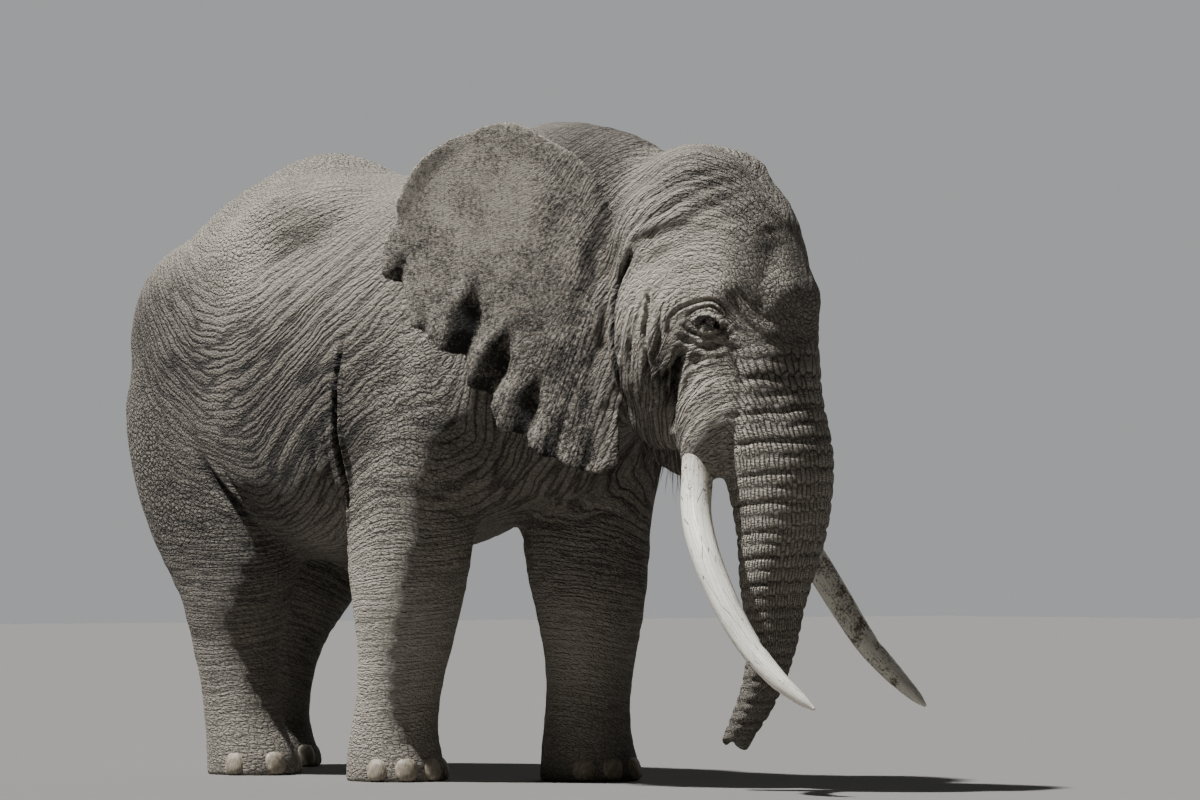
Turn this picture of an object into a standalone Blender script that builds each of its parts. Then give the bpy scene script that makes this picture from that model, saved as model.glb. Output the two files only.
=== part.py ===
"""African bush elephant bull, life size, walking with its head low.

Metres. +X is forward, +Y is the animal's left and +Z is up. The origin is on the ground, under
the middle of the animal's bounding box. The flesh is modelled whole, from lofted and rounded
masses that a voxel remesh fuses, and is then parted into named sub-parts by thin cuts.
"""

import math

import bmesh
import bpy
import numpy as np
from mathutils import Matrix, Vector
from mathutils.bvhtree import BVHTree

# Driving dimensions.
EYE_HEIGHT = 2.32
HEAD_PLACE = (1.644, 0.12, EYE_HEIGHT)  # the point between the eyes
HEAD_YAW = math.radians(13)  # the head is turned to its left
CUT = 0.0005  # width of the cuts that part the flesh, and of the gap round what grows from it
VOXEL = 0.032
SMOOTHING = 12
FLESH_TRIANGLES = 2820
FACE_SHARE = 0.6  # how much the face is thinned, against the rest of the flesh
EYE_RADIUS = 0.027
EYE_PLACE = (-0.008, 0, -0.015)  # in the head, before the ray that sets how far out it lies
TUSK_GIRTH = 0.078  # radius where a tusk leaves its sheath
TOES = {"fore": 4, "hind": 3}
SOLE_CUT = -0.12  # the legs are lofted down to here, and then cut level with the ground
KNEE = {"fore": 0.78, "hind": 0.98}  # heights where the upper legs end
ANKLE = 0.24
NECK_CUT = (0.52, 2.4)  # x and z on the cut between the neck and the body
HEAD_CUT = -0.62  # behind the eyes, where the head ends
NAIL_SIZE = (0.032, 0.060, 0.057)  # half depth, half width and half height
NAIL_HEIGHT = 0.065
TRUNK_CUTS = (("tip", -1.62, 0.3), ("middle", -1.22, 0.15), ("upper", -0.84, 0.0))
TRUNK_SPACE = (-0.42, -0.6, -2.0), (0.6, 0.6, 0)  # corners round a length, from the top of it
AHEAD = (0, -2, -3), (3, 2, 3)  # corners of a box that holds all that is ahead of a cut
EVERYTHING = (-4, -2, -3), (3, 2, 4)  # a box's corners that hold the whole animal

# The trunk of the body, forwards: x, top, bottom, half width, how much narrower its top is.
BODY = (
    (-2.82, 2.36, 1.96, 0.20, 0.00),
    (-2.74, 2.54, 1.70, 0.40, 0.00),
    (-2.52, 2.84, 1.44, 0.55, 0.06),
    (-2.22, 3.09, 1.27, 0.65, 0.14),
    (-1.85, 3.24, 1.17, 0.71, 0.24),
    (-1.50, 3.31, 1.13, 0.75, 0.26),
    (-1.10, 3.19, 1.13, 0.77, 0.24),
    (-0.70, 3.15, 1.18, 0.75, 0.22),
    (-0.35, 3.23, 1.27, 0.68, 0.22),
    (0.00, 3.32, 1.36, 0.58, 0.24),
    (0.35, 3.37, 1.50, 0.48, 0.22),
    (0.70, 3.33, 1.70, 0.40, 0.16),
    (1.00, 3.24, 1.92, 0.36, 0.08),
    (1.30, 3.05, 2.08, 0.30, 0.00),
)

# A leg, downwards: height, offset of its middle, half length, half thickness, offset outwards.
FORELEG = (
    (2.75, 0.10, 0.20, 0.08, -0.04),
    (2.45, 0.12, 0.36, 0.17, 0.00),
    (2.05, 0.07, 0.45, 0.24, 0.02),
    (1.65, -0.01, 0.43, 0.27, 0.02),
    (1.35, -0.04, 0.39, 0.28, 0.00),
    (1.09, -0.03, 0.35, 0.28, 0.00),
    (0.85, 0.00, 0.29, 0.26, 0.00),
    (0.60, 0.01, 0.235, 0.225, 0.00),
    (0.40, 0.00, 0.222, 0.215, 0.00),
    (0.22, 0.00, 0.235, 0.225, 0.00),
    (0.08, 0.02, 0.262, 0.245, 0.00),
    (SOLE_CUT, 0.02, 0.262, 0.245, 0.00),
)
HINDLEG = (
    (2.70, 0.02, 0.28, 0.12, -0.06),
    (2.40, -0.06, 0.50, 0.24, 0.00),
    (2.05, -0.12, 0.60, 0.30, 0.02),
    (1.75, -0.10, 0.60, 0.31, 0.04),
    (1.42, -0.05, 0.58, 0.30, 0.04),
    (1.15, -0.01, 0.49, 0.27, 0.03),
    (0.92, 0.00, 0.37, 0.235, 0.02),
    (0.70, -0.06, 0.275, 0.21, 0.00),
    (0.48, -0.06, 0.225, 0.195, 0.00),
    (0.26, -0.04, 0.225, 0.205, 0.00),
    (0.08, 0.02, 0.262, 0.225, 0.00),
    (SOLE_CUT, 0.03, 0.265, 0.225, 0.00),
)
LEGS = {"fore": FORELEG, "hind": HINDLEG}
# The space parted off for a leg: height of its post, its top, half length and half width.
LEG_SPACE = {"fore": (1.20, 2.30, 0.55, 0.40), "hind": (1.12, 2.35, 0.62, 0.42)}
LEG_SPACE_ASIDE = (0.46, 0.06)  # its middle's y at the foot, and how much more that is at the joint
# Where each leg stands: the sole's x and y, and the x where the leg joins the body.
STANCE = {
    "fore_right": (-0.50, -0.40, -0.20),
    "fore_left": (0.10, 0.40, 0.16),
    "hind_right": (-1.72, -0.41, -1.95),
    "hind_left": (-2.60, 0.40, -2.08),
}

# The head and trunk, downwards: height above the eyes, front, back, half width.
HEAD = (
    (0.885, -0.20, -0.40, 0.08),
    (0.84, -0.10, -0.47, 0.17),
    (0.756, 0.025, -0.54, 0.245),
    (0.577, 0.21, -0.60, 0.32),
    (0.404, 0.285, -0.63, 0.345),
    (0.18, 0.36, -0.64, 0.35),
    (-0.11, 0.39, -0.56, 0.32),
    (-0.32, 0.40, -0.36, 0.30),
    (-0.50, 0.44, -0.16, 0.28),
    (-0.65, 0.48, -0.08, 0.262),
    (-0.82, 0.485, -0.05, 0.245),
    (-1.04, 0.455, 0.0, 0.22),
    (-1.20, 0.405, 0.01, 0.20),
    (-1.33, 0.36, 0.01, 0.18),
    (-1.45, 0.325, 0.03, 0.15),
    (-1.60, 0.30, 0.04, 0.13),
    (-1.80, 0.225, 0.00, 0.113),
    (-1.98, 0.12, -0.085, 0.10),
    (-2.10, 0.01, -0.155, 0.085),
)

# A tusk, outwards from its sheath, in the head's frame: ahead, aside, above the eyes, and girth.
TUSK = (
    (-0.08, 0.27, -0.62, 1.00),
    (-0.07, 0.30, -0.80, 0.99),
    (-0.02, 0.37, -0.98, 0.95),
    (0.10, 0.45, -1.18, 0.90),
    (0.235, 0.488, -1.39, 0.84),
    (0.381, 0.50, -1.59, 0.74),
    (0.547, 0.505, -1.75, 0.60),
    (0.68, 0.49, -1.85, 0.38),
    (0.752, 0.476, -1.90, 0.10),
)

# An ear's outline, round from its upper front corner: distance from the root line, height.
EAR = (
    (0.06, 3.09),
    (0.20, 3.20),
    (0.42, 3.31),
    (0.66, 3.26),
    (0.87, 3.15),
    (1.00, 3.00),
    (1.09, 2.83),
    (1.17, 2.68),
    (1.10, 2.50),
    (1.00, 2.33),
    (0.87, 2.22),
    (0.72, 2.14),
    (0.61, 1.98),
    (0.50, 1.82),
    (0.34, 1.70),
    (0.17, 1.61),
    (0.02, 1.575),
    (-0.08, 1.66),
    (-0.085, 1.86),
    (-0.06, 2.10),
    (-0.05, 2.35),
    (-0.05, 2.62),
    (-0.04, 2.88),
)
EAR_MIDDLE = (0.34, 2.58)
EAR_THICKNESS = (0.05, 0.016)  # at its middle and at its margin
EAR_FLUTES = 0.045  # how far the folds of the lower margin stand out
# Each ear: where its root line stands, how far it swings out, how far it droops, and its size.
EARS = {
    "right": ((1.10, -0.37), math.radians(31), 0.0, 1.02),
    "left": ((0.96, 0.34), math.radians(-28), math.radians(-8), 0.92),
}

# The lower jaw and its pointed lip, in the head's frame: ahead, aside, above the eyes, radius.
JAW = (
    (-0.59, 0, -0.30, 0.18),
    (-0.51, 0, -0.44, 0.18),
    (-0.43, 0, -0.56, 0.165),
    (-0.37, 0, -0.67, 0.12),
    (-0.33, 0, -0.75, 0.06),
    (-0.32, 0, -0.81, 0.015),
)

# The tail, downwards: x, y, z, radius.
TAIL = (
    (-2.60, 0.00, 2.50, 0.100),
    (-2.76, 0.02, 2.38, 0.080),
    (-2.86, 0.06, 2.10, 0.060),
    (-2.87, 0.12, 1.75, 0.045),
    (-2.84, 0.17, 1.40, 0.034),
    (-2.80, 0.20, 1.10, 0.028),
)
TAIL_TUFT = (
    (-2.80, 0.20, 1.16, 0.032),
    (-2.79, 0.205, 1.00, 0.050),
    (-2.78, 0.21, 0.84, 0.040),
    (-2.78, 0.215, 0.70, 0.014),
)

SKIN = ("skin", "#8C8780", 0.85)
IVORY = ("ivory", "#E4DCC8", 0.45)
HORN = ("nail horn", "#9A9184", 0.6)
EYE = ("eye", "#2A1C12", 0.1)
HAIR = ("tail hair", "#1C1917", 0.7)


def clear_scene():
    """Removes what is in the scene."""
    for thing in list(bpy.data.objects):
        bpy.data.objects.remove(thing, do_unlink=True)


def new_collection(name):
    """An empty collection in the scene."""
    made = bpy.data.collections.new(name)
    bpy.context.scene.collection.children.link(made)
    return made


def linear(hex_colour):
    """An sRGB hex colour as linear red, green, blue and alpha."""
    parts = [int(hex_colour[i : i + 2], 16) / 255 for i in (1, 3, 5)]
    return [c / 12.92 if c <= 0.04045 else ((c + 0.055) / 1.055) ** 2.4 for c in parts] + [1]


def material(name, hex_colour, roughness):
    """The Principled material of this name, made the first time it is asked for."""
    made = bpy.data.materials.get(name)
    if not made:
        made = bpy.data.materials.new(name)
        made.use_nodes = True
        shader = made.node_tree.nodes["Principled BSDF"]
        shader.inputs["Base Color"].default_value = linear(hex_colour)
        shader.inputs["Roughness"].default_value = roughness
    return made


def add_mesh(name, points, faces):
    """A new guide: an object that isn't a sub-part."""
    mesh = bpy.data.meshes.new(name)
    mesh.from_pydata([tuple(p) for p in points], [], faces)
    made = bpy.data.objects.new(name, mesh)
    guides.objects.link(made)
    made.hide_render = True
    made.display_type = "WIRE"
    return made


def keep(thing, name, finish):
    """Makes this guide a visible sub-part with its own material."""
    thing.name = name
    thing.data.name = name
    guides.objects.unlink(thing)
    elephant.objects.link(thing)
    thing.hide_render = False
    thing.display_type = "TEXTURED"
    thing.data.materials.clear()
    thing.data.materials.append(material(*finish))
    thing.data.shade_smooth()
    return thing


def remove(*things):
    """Deletes guides that have done their work."""
    for thing in things:
        bpy.data.objects.remove(thing, do_unlink=True)


def evaluated_copy(thing, name):
    """A new guide with the mesh that this object's modifiers give."""
    graph = bpy.context.evaluated_depsgraph_get()
    mesh = bpy.data.meshes.new_from_object(thing.evaluated_get(graph))
    mesh.transform(thing.matrix_world)
    made = add_mesh(name, [], [])
    made.data = mesh
    return made


def combined(name, thing, other, operation):
    """The two meshes joined, cut or intersected, as a new guide."""
    modifier = thing.modifiers.new(operation.title(), "BOOLEAN")
    modifier.operation = operation
    modifier.solver = "EXACT"
    modifier.object = other
    made = evaluated_copy(thing, name)
    thing.modifiers.remove(modifier)
    return made


def outward(thing):
    """Turns a closed mesh's faces outwards and makes them triangles, which stay flat."""
    shape = bmesh.new()
    shape.from_mesh(thing.data)
    bmesh.ops.recalc_face_normals(shape, faces=shape.faces)
    bmesh.ops.triangulate(shape, faces=shape.faces)
    shape.to_mesh(thing.data)
    shape.free()


def grown(thing, by):
    """A copy of a closed mesh, with each face moved out by at least this much."""
    made = evaluated_copy(thing, thing.name + "_grown")
    outward(made)
    shape = bmesh.new()
    shape.from_mesh(made.data)
    moves = []
    for vertex in shape.verts:
        move = vertex.normal * by
        sides = [face.normal for face in vertex.link_faces]
        for _ in range(40):
            nearest = min(sides, key=move.dot)
            if nearest.dot(move) > 0.98 * by:
                break
            move += nearest * (by - nearest.dot(move))
        moves.append(move)
    for vertex, move in zip(shape.verts, moves):
        vertex.co += move
    shape.to_mesh(made.data)
    shape.free()
    return made


def largest_body(thing):
    """Keeps only the largest of a mesh's separate bodies."""
    shape = bmesh.new()
    shape.from_mesh(thing.data)
    left = set(shape.verts)
    bodies = []
    while left:
        body = {left.pop()}
        edge_of_it = set(body)
        while edge_of_it:
            edge_of_it = {e.other_vert(v) for v in edge_of_it for e in v.link_edges} & left
            left -= edge_of_it
            body |= edge_of_it
        bodies.append(body)
    bodies.sort(key=len)
    for body in bodies[:-1]:
        bmesh.ops.delete(shape, geom=list(body), context="VERTS")
    shape.to_mesh(thing.data)
    shape.free()


def smooth_rows(rows, count, closed=False):
    """Catmull-Rom curve through the rows, as count rows evenly spaced in the parameter."""
    rows = np.array(rows, float)
    if closed:
        rows = np.vstack([rows[-1], rows, rows[0], rows[1]])
    else:
        rows = np.vstack([2 * rows[0] - rows[1], rows, 2 * rows[-1] - rows[-2]])
    at = np.linspace(0, len(rows) - 3, count, endpoint=not closed)
    first = np.minimum(at.astype(int), len(rows) - 4)
    t = (at - first)[:, None]
    a, b, c, d = (rows[first + k] for k in range(4))
    return 0.5 * (2 * b + (c - a) * t + (2 * a - 5 * b + 4 * c - d) * t**2 + (3 * b - a - 3 * c + d) * t**3)


def loft(name, rings):
    """A closed skin over rings, an array of ring by side by 3, with a flat cap at each end."""
    count, sides = rings.shape[:2]
    faces = []
    for i in range(count - 1):
        for j in range(sides):
            k = (j + 1) % sides
            faces.append((i * sides + j, i * sides + k, (i + 1) * sides + k, (i + 1) * sides + j))
    faces.append(tuple(range(sides))[::-1])
    faces.append(tuple(range((count - 1) * sides, count * sides)))
    made = add_mesh(name, rings.reshape(-1, 3), faces)
    outward(made)
    return made


def superellipse(sides, power):
    """The points of a circle squared off a little, as two arrays."""
    angle = np.arange(sides) * 2 * math.pi / sides
    c, s = np.cos(angle), np.sin(angle)
    return np.sign(c) * np.abs(c) ** (2 / power), np.sign(s) * np.abs(s) ** (2 / power)


def columns(table, count):
    """A table's columns, smoothed to this many rows, each as an upright array."""
    return (column[:, None] for column in smooth_rows(table, count).T)


def tube(name, path, sides, count):
    """A round loft along a path of x, y, z and radius."""
    rows = smooth_rows(path, count)
    middle, radius = rows[:, :3], rows[:, 3]
    along = np.gradient(middle, axis=0)
    along /= np.linalg.norm(along, axis=1)[:, None]
    across = np.cross(along, (0.0, 1.0, 0.0))
    across /= np.linalg.norm(across, axis=1)[:, None]
    up = np.cross(across, along)
    angle = np.arange(sides) * 2 * math.pi / sides
    ring = np.cos(angle)[None, :, None] * across[:, None] + np.sin(angle)[None, :, None] * up[:, None]
    return loft(name, middle[:, None] + radius[:, None, None] * ring)


def in_head():
    """From the head's frame, which starts between the eyes, to the ground's."""
    return Matrix.Translation(HEAD_PLACE) @ Matrix.Rotation(HEAD_YAW, 4, "Z")


def body_mass():
    """The trunk of the body: rounded rings, each narrower towards its top."""
    c, s = superellipse(28, 2.3)
    x, top, bottom, half, pear = columns(BODY, 44)
    y = half * c * (1 - pear * s)
    z = (top + bottom) / 2 + (top - bottom) / 2 * s
    return loft("body_mass", np.stack([x + 0 * y, y, z], axis=2))


def upright_share(z):
    """How far up the lean of a leg a height is: 0 at its foot and 1 at its joint."""
    return np.clip((z - 0.2) / 1.7, 0, 1)


def leg_mass(name):
    """A leg down to below the ground: rounded rings that lean from the joint to the sole."""
    c, s = superellipse(20, 2.15)
    sole_x, sole_y, joint_x = STANCE[name]
    side = math.copysign(1, sole_y)
    z, offset, half_length, half_width, out = columns(LEGS[name[:4]], 34)
    x = sole_x + (joint_x - sole_x) * upright_share(z) + offset + half_length * c
    y = sole_y + side * out + half_width * s
    return loft("leg_" + name, np.stack([x, y, z + 0 * x], axis=2))


def head_mass():
    """The head and the trunk as one loft of level rings."""
    c, s = superellipse(24, 2.2)
    z, front, back, half = columns(HEAD, 52)
    x = (front + back) / 2 + (front - back) / 2 * c
    made = loft("head_mass", np.stack([x, half * s, z + 0 * x], axis=2))
    made.data.transform(in_head())
    return made


def ball(name, centre, half, tilt=0.0, frame=None):
    """A rounded mass with these half sizes, tilted nose down."""
    shape = bmesh.new()
    place = Matrix.Translation(centre) @ Matrix.Rotation(tilt, 4, "Y") @ Matrix.Diagonal((*half, 1))
    bmesh.ops.create_uvsphere(shape, u_segments=20, v_segments=12, radius=1, matrix=place)
    made = add_mesh(name, [], [])
    shape.to_mesh(made.data)
    shape.free()
    if frame:
        made.data.transform(frame)
    return made


def side_masses(side):
    """The muscles and bones that show on one side: centre, half sizes and tilt."""
    head = in_head()
    return [
        ball("hip_bone", (-1.62, side * 0.43, 2.66), (0.36, 0.22, 0.30), 0.3),
        ball("rump", (-2.22, side * 0.37, 2.32), (0.52, 0.29, 0.54)),
        ball("loin", (-1.30, side * 0.30, 2.85), (0.60, 0.30, 0.32)),
        ball("pin_bone", (-2.50, side * 0.33, 2.08), (0.28, 0.24, 0.50)),
        ball("shoulder_blade", (-0.02, side * 0.40, 2.66), (0.40, 0.20, 0.52), -0.15),
        ball("shoulder", (0.22, side * 0.38, 2.05), (0.34, 0.20, 0.34)),
        ball("flank", (-1.05, side * 0.40, 1.75), (0.75, 0.36, 0.56)),
        ball("cheek", (-0.33, side * 0.25, -0.06), (0.29, 0.20, 0.42), 0.1, head),
        ball("jowl", (-0.33, side * 0.185, -0.42), (0.24, 0.15, 0.24), 0.3, head),
        ball("brow", (0.03, side * 0.245, 0.12), (0.17, 0.105, 0.13), 0.3, head),
        ball("socket", (0.00, side * 0.225, -0.02), (0.15, 0.115, 0.12), 0, head),
        ball("temple", (-0.38, side * 0.22, 0.40), (0.24, 0.18, 0.28), 0, head),
        ball("dome", (-0.20, side * 0.12, 0.70), (0.26, 0.16, 0.17), 0, head),
        ball("sheath", (-0.075, side * 0.255, -0.46), (0.155, 0.125, 0.36), -0.05, head),
        ball("trunk_root", (0.165, side * 0.12, -0.30), (0.19, 0.17, 0.40), 0, head),
    ]


def flesh_masses():
    """All the masses of the flesh, left overlapping."""
    masses = [body_mass(), head_mass()]
    masses += [leg_mass(name) for name in STANCE]
    masses += side_masses(-1) + side_masses(1)
    masses.append(ball("brisket", (0.36, 0.0, 1.74), (0.26, 0.24, 0.32)))
    masses.append(ball("sheath_of_belly", (-1.20, 0, 1.16), (0.36, 0.13, 0.13), 0.1))
    masses.append(ball("throat", (-0.42, 0, -0.38), (0.34, 0.20, 0.26), 0.3, in_head()))
    return masses


def fused(masses):
    """One closed mesh from the overlapping masses: voxels, smoothed, then thinned."""
    whole = bmesh.new()
    for mass in masses:
        whole.from_mesh(mass.data)
    made = add_mesh("masses", [], [])
    whole.to_mesh(made.data)
    whole.free()
    voxels = made.modifiers.new("Voxels", "REMESH")
    voxels.mode = "VOXEL"
    voxels.voxel_size = VOXEL
    smooth = made.modifiers.new("Smooth", "SMOOTH")
    smooth.factor = 0.5
    smooth.iterations = SMOOTHING
    dense = evaluated_copy(made, "dense")
    quads = len(dense.data.polygons)
    plain = dense.vertex_groups.new(name="plain")
    for vertex in dense.data.vertices:
        in_face = vertex.co.x > HEAD_PLACE[0] - 0.7 and vertex.co.z > 0.9
        plain.add([vertex.index], FACE_SHARE if in_face else 1.0, "REPLACE")
    thin = dense.modifiers.new("Thin", "DECIMATE")
    thin.ratio = FLESH_TRIANGLES / (2 * quads)
    thin.vertex_group = plain.name
    thin.use_collapse_triangulate = True
    flesh = evaluated_copy(dense, "flesh")
    remove(made, dense, *masses)
    return flesh


def box(name, low, high, frame=None):
    """A box between two corners."""
    low, high = Vector(low), Vector(high)
    shape = bmesh.new()
    place = Matrix.Translation((low + high) / 2) @ Matrix.Diagonal((*(high - low), 1))
    bmesh.ops.create_cube(shape, size=1, matrix=place)
    made = add_mesh(name, [], [])
    shape.to_mesh(made.data)
    shape.free()
    if frame:
        made.data.transform(frame)
    return made


def everything_below(height):
    low, high = EVERYTHING
    return box("below", low, (high[0], high[1], height))


def leg_region(name):
    """The space a leg takes: a post round the limb, with a domed top inside the shoulder or thigh."""
    sole_x, sole_y, joint_x = STANCE[name]
    post, top, half_length, half_width = LEG_SPACE[name[:4]]
    turn = np.linspace(0, math.pi / 2, 6)[:-1]
    z = np.concatenate([[SOLE_CUT], post + (top - post) * np.sin(turn)])[:, None]
    width = np.concatenate([[1], np.cos(turn)])[:, None]
    share = upright_share(z)
    c, s = superellipse(14, 2.6)
    x = sole_x + (joint_x - sole_x) * share + half_length * width * c
    middle = math.copysign(1, sole_y) * (LEG_SPACE_ASIDE[0] + LEG_SPACE_ASIDE[1] * share)
    y = middle + half_width * (0.35 + 0.65 * width) * s
    return loft("region", np.stack([x, y, z + 0 * x], axis=2))


def part_off(flesh, name, region):
    """What of the flesh lies in this region, and the rest of it, a thin cut apart."""
    piece = combined(name, flesh, region, "INTERSECT")
    wider = grown(region, CUT)
    rest = combined("rest", flesh, wider, "DIFFERENCE")
    largest_body(piece)
    remove(flesh, region, wider)
    return piece, rest


def part_leg(flesh, name):
    """Parts a leg from the body, and then its foot and shank."""
    leg, flesh = part_off(flesh, "leg", leg_region(name))
    foot, leg = part_off(leg, "foot", everything_below(ANKLE))
    lower, upper = part_off(leg, "lower", everything_below(KNEE[name[:4]]))
    keep(foot, "foot_" + name, SKIN)
    keep(lower, "lower_leg_" + name, SKIN)
    keep(upper, "upper_leg_" + name, SKIN)
    return flesh


def part_trunk(flesh):
    """Parts the trunk in its lengths, tip first."""
    for name, height, slope in TRUNK_CUTS:
        frame = in_head() @ Matrix.Translation((0.2, 0, height)) @ Matrix.Rotation(slope, 4, "Y")
        region = box("region", *TRUNK_SPACE, frame)
        piece, flesh = part_off(flesh, name, region)
        keep(piece, "trunk_" + name, SKIN)
    return flesh


def part_head_and_neck(flesh):
    """Parts the head from the neck, and the neck from the body."""
    frame = in_head() @ Matrix.Translation((HEAD_CUT, 0, 0)) @ Matrix.Rotation(0.22, 4, "Y")
    head, flesh = part_off(flesh, "head", box("region", *AHEAD, frame))
    frame = Matrix.Translation((NECK_CUT[0], 0, NECK_CUT[1])) @ Matrix.Rotation(0.25, 4, "Y")
    neck, flesh = part_off(flesh, "neck", box("region", *AHEAD, frame))
    keep(head, "head", SKIN)
    keep(neck, "neck", SKIN)
    return flesh


def outgrowth(thing, flesh, name, finish):
    """What stands out of the flesh of a mass that is rooted in it."""
    wider = grown(flesh, CUT)
    made = combined(name, thing, wider, "DIFFERENCE")
    largest_body(made)
    remove(thing, wider)
    return keep(made, name, finish)


def ear_sheet(side_name):
    """An ear: rings between its middle and its outline, fluted towards the lower margin."""
    (root_x, root_y), swing, droop, size = EARS[side_name]
    side = math.copysign(1, root_y)
    margin = smooth_rows(EAR, 40, closed=True)
    shares = np.array([0.4, 0.78, 1.0])[:, None, None]
    middle = np.array(EAR_MIDDLE)
    flat = middle + shares * (margin - middle)
    flat = np.vstack([middle[None], flat.reshape(-1, 2)])
    across, height = flat[:, 0], flat[:, 1]
    radius = np.concatenate([[0], np.repeat(shares.ravel(), len(margin))])
    low = np.clip((2.75 - height) / 0.6, 0, 1) * np.clip((across + 0.05) / 0.35, 0, 1)
    round_margin = np.arctan2(height - middle[1], across - middle[0] + 0.3)
    flutes = EAR_FLUTES * radius**2 * low * np.sin(11 * round_margin)
    bowl = 0.10 * (across - 0.45) ** 2 - 0.05 * np.clip(height - 2.9, 0, 1)
    out = flutes - bowl
    turned = Matrix.Rotation(droop, 2)
    across, height = (np.stack([across, height - 2.6], axis=1) @ np.array(turned).T * size).T
    way = np.array([-math.cos(swing), -math.sin(swing)])
    facing = side * np.array([math.sin(abs(swing)), math.cos(swing)])
    plan = np.array([root_x, root_y]) + across[:, None] * way + out[:, None] * facing
    points = np.column_stack([plan, height + 2.6])
    count = len(margin)
    faces = [(0, 1 + j, 1 + (j + 1) % count) for j in range(count)]
    for i in range(len(shares) - 1):
        for j in range(count):
            k = (j + 1) % count
            a, b = 1 + i * count, 1 + (i + 1) * count
            faces.append((a + j, b + j, b + k, a + k))
    sheet = add_mesh("ear", points, faces)
    group = sheet.vertex_groups.new(name="thickness")
    thin = EAR_THICKNESS[1] / EAR_THICKNESS[0]
    for i, share in enumerate(radius):
        group.add([i], float(1 - (1 - thin) * min(1, share * 1.05)), "REPLACE")
    thickness = sheet.modifiers.new("Thickness", "SOLIDIFY")
    thickness.thickness = EAR_THICKNESS[0]
    thickness.offset = 0
    thickness.vertex_group = "thickness"
    solid = evaluated_copy(sheet, "ear_solid")
    remove(sheet)
    outward(solid)
    return solid


def jaw_mass():
    """The lower jaw, which ends in its pointed lip."""
    jaw = tube("jaw", JAW, 9, 7)
    jaw.data.transform(in_head())
    return jaw


def tusk_mass(side):
    """A tusk, with its root inside the sheath."""
    path = [(x, side * y, z, TUSK_GIRTH * girth) for x, y, z, girth in TUSK]
    tusk = tube("tusk", path, 10, 12)
    tusk.data.transform(in_head())
    return tusk


def surface_point(flesh, start, way):
    """Where a ray from inside the flesh leaves it."""
    points = [vertex.co for vertex in flesh.data.vertices]
    tree = BVHTree.FromPolygons(points, [face.vertices for face in flesh.data.polygons])
    return tree.ray_cast(Vector(start), Vector(way))[0]


def add_eye(flesh, side, name):
    """An eyeball in a socket that is cut for it, its front just proud of the flesh."""
    start = in_head() @ Vector(EYE_PLACE)
    way = in_head().to_3x3() @ Vector((0.12, side, 0)).normalized()
    at = surface_point(flesh, start, way)
    shape = bmesh.new()
    place = Matrix.Translation(at - way * EYE_RADIUS * 0.45)
    bmesh.ops.create_icosphere(shape, subdivisions=2, radius=EYE_RADIUS, matrix=place)
    eye = add_mesh(name, [], [])
    shape.to_mesh(eye.data)
    shape.free()
    wider = grown(eye, CUT)
    rest = combined("flesh", flesh, wider, "DIFFERENCE")
    remove(flesh, wider)
    keep(eye, name, EYE)
    return rest


def add_nails(flesh, name):
    """The toenails of one foot, fanned round its front."""
    sole_x, sole_y, _ = STANCE[name]
    toes = TOES[name[:4]]
    side = math.copysign(1, sole_y)
    for toe in range(toes):
        angle = math.radians(-54 + 108 * toe / (toes - 1)) + side * 0.12
        way = Vector((math.cos(angle), math.sin(angle), 0))
        at = surface_point(flesh, (sole_x + 0.02, sole_y, NAIL_HEIGHT), way)
        shape = bmesh.new()
        turn = Matrix.Rotation(angle, 4, "Z") @ Matrix.Rotation(-0.25, 4, "Y")
        place = Matrix.Translation(at - way * 0.012) @ turn @ Matrix.Diagonal((*NAIL_SIZE, 1))
        bmesh.ops.create_uvsphere(shape, u_segments=7, v_segments=4, radius=1, matrix=place)
        nail = add_mesh("nail", [], [])
        shape.to_mesh(nail.data)
        shape.free()
        outgrowth(nail, flesh, "nail_%s_%d" % (name, toe + 1), HORN)


def add_tail(flesh):
    """The tail, and the tuft at its end as one plain form."""
    tuft = tube("tuft", TAIL_TUFT, 8, 7)
    wider = grown(tuft, CUT)
    whole = tube("tail", TAIL, 8, 9)
    tail = combined("tail", whole, wider, "DIFFERENCE")
    remove(whole, wider)
    outgrowth(tail, flesh, "tail", SKIN)
    keep(tuft, "tail_tuft", HAIR)


def main():
    whole = fused(flesh_masses())
    ground = everything_below(0)
    flesh = combined("flesh", whole, ground, "DIFFERENCE")
    remove(whole, ground)
    for name in STANCE:
        add_nails(flesh, name)
    add_tail(flesh)
    for side, name in ((-1, "right"), (1, "left")):
        outgrowth(ear_sheet(name), flesh, "ear_" + name, SKIN)
        outgrowth(tusk_mass(side), flesh, "tusk_" + name, IVORY)
    outgrowth(jaw_mass(), flesh, "lower_jaw", SKIN)
    for side, name in ((-1, "right"), (1, "left")):
        flesh = add_eye(flesh, side, "eye_" + name)
    for name in STANCE:
        flesh = part_leg(flesh, name)
    flesh = part_trunk(flesh)
    flesh = part_head_and_neck(flesh)
    largest_body(flesh)
    keep(flesh, "body", SKIN)
    for thing in list(guides.objects):
        remove(thing)
    settle()


def settle():
    """Moves everything so that the origin is under the middle of the bounding box."""
    corners = np.array([v.co for thing in elephant.objects for v in thing.data.vertices])
    middle = (corners.min(axis=0) + corners.max(axis=0)) / 2
    shift = Matrix.Translation((-middle[0], -middle[1], -corners[:, 2].min()))
    for thing in elephant.objects:
        thing.data.transform(shift)


clear_scene()
elephant = new_collection("elephant")
guides = new_collection("guides")
main()
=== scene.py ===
import math

import bmesh
import bpy
import numpy as np
from mathutils import Matrix, Vector


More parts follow.
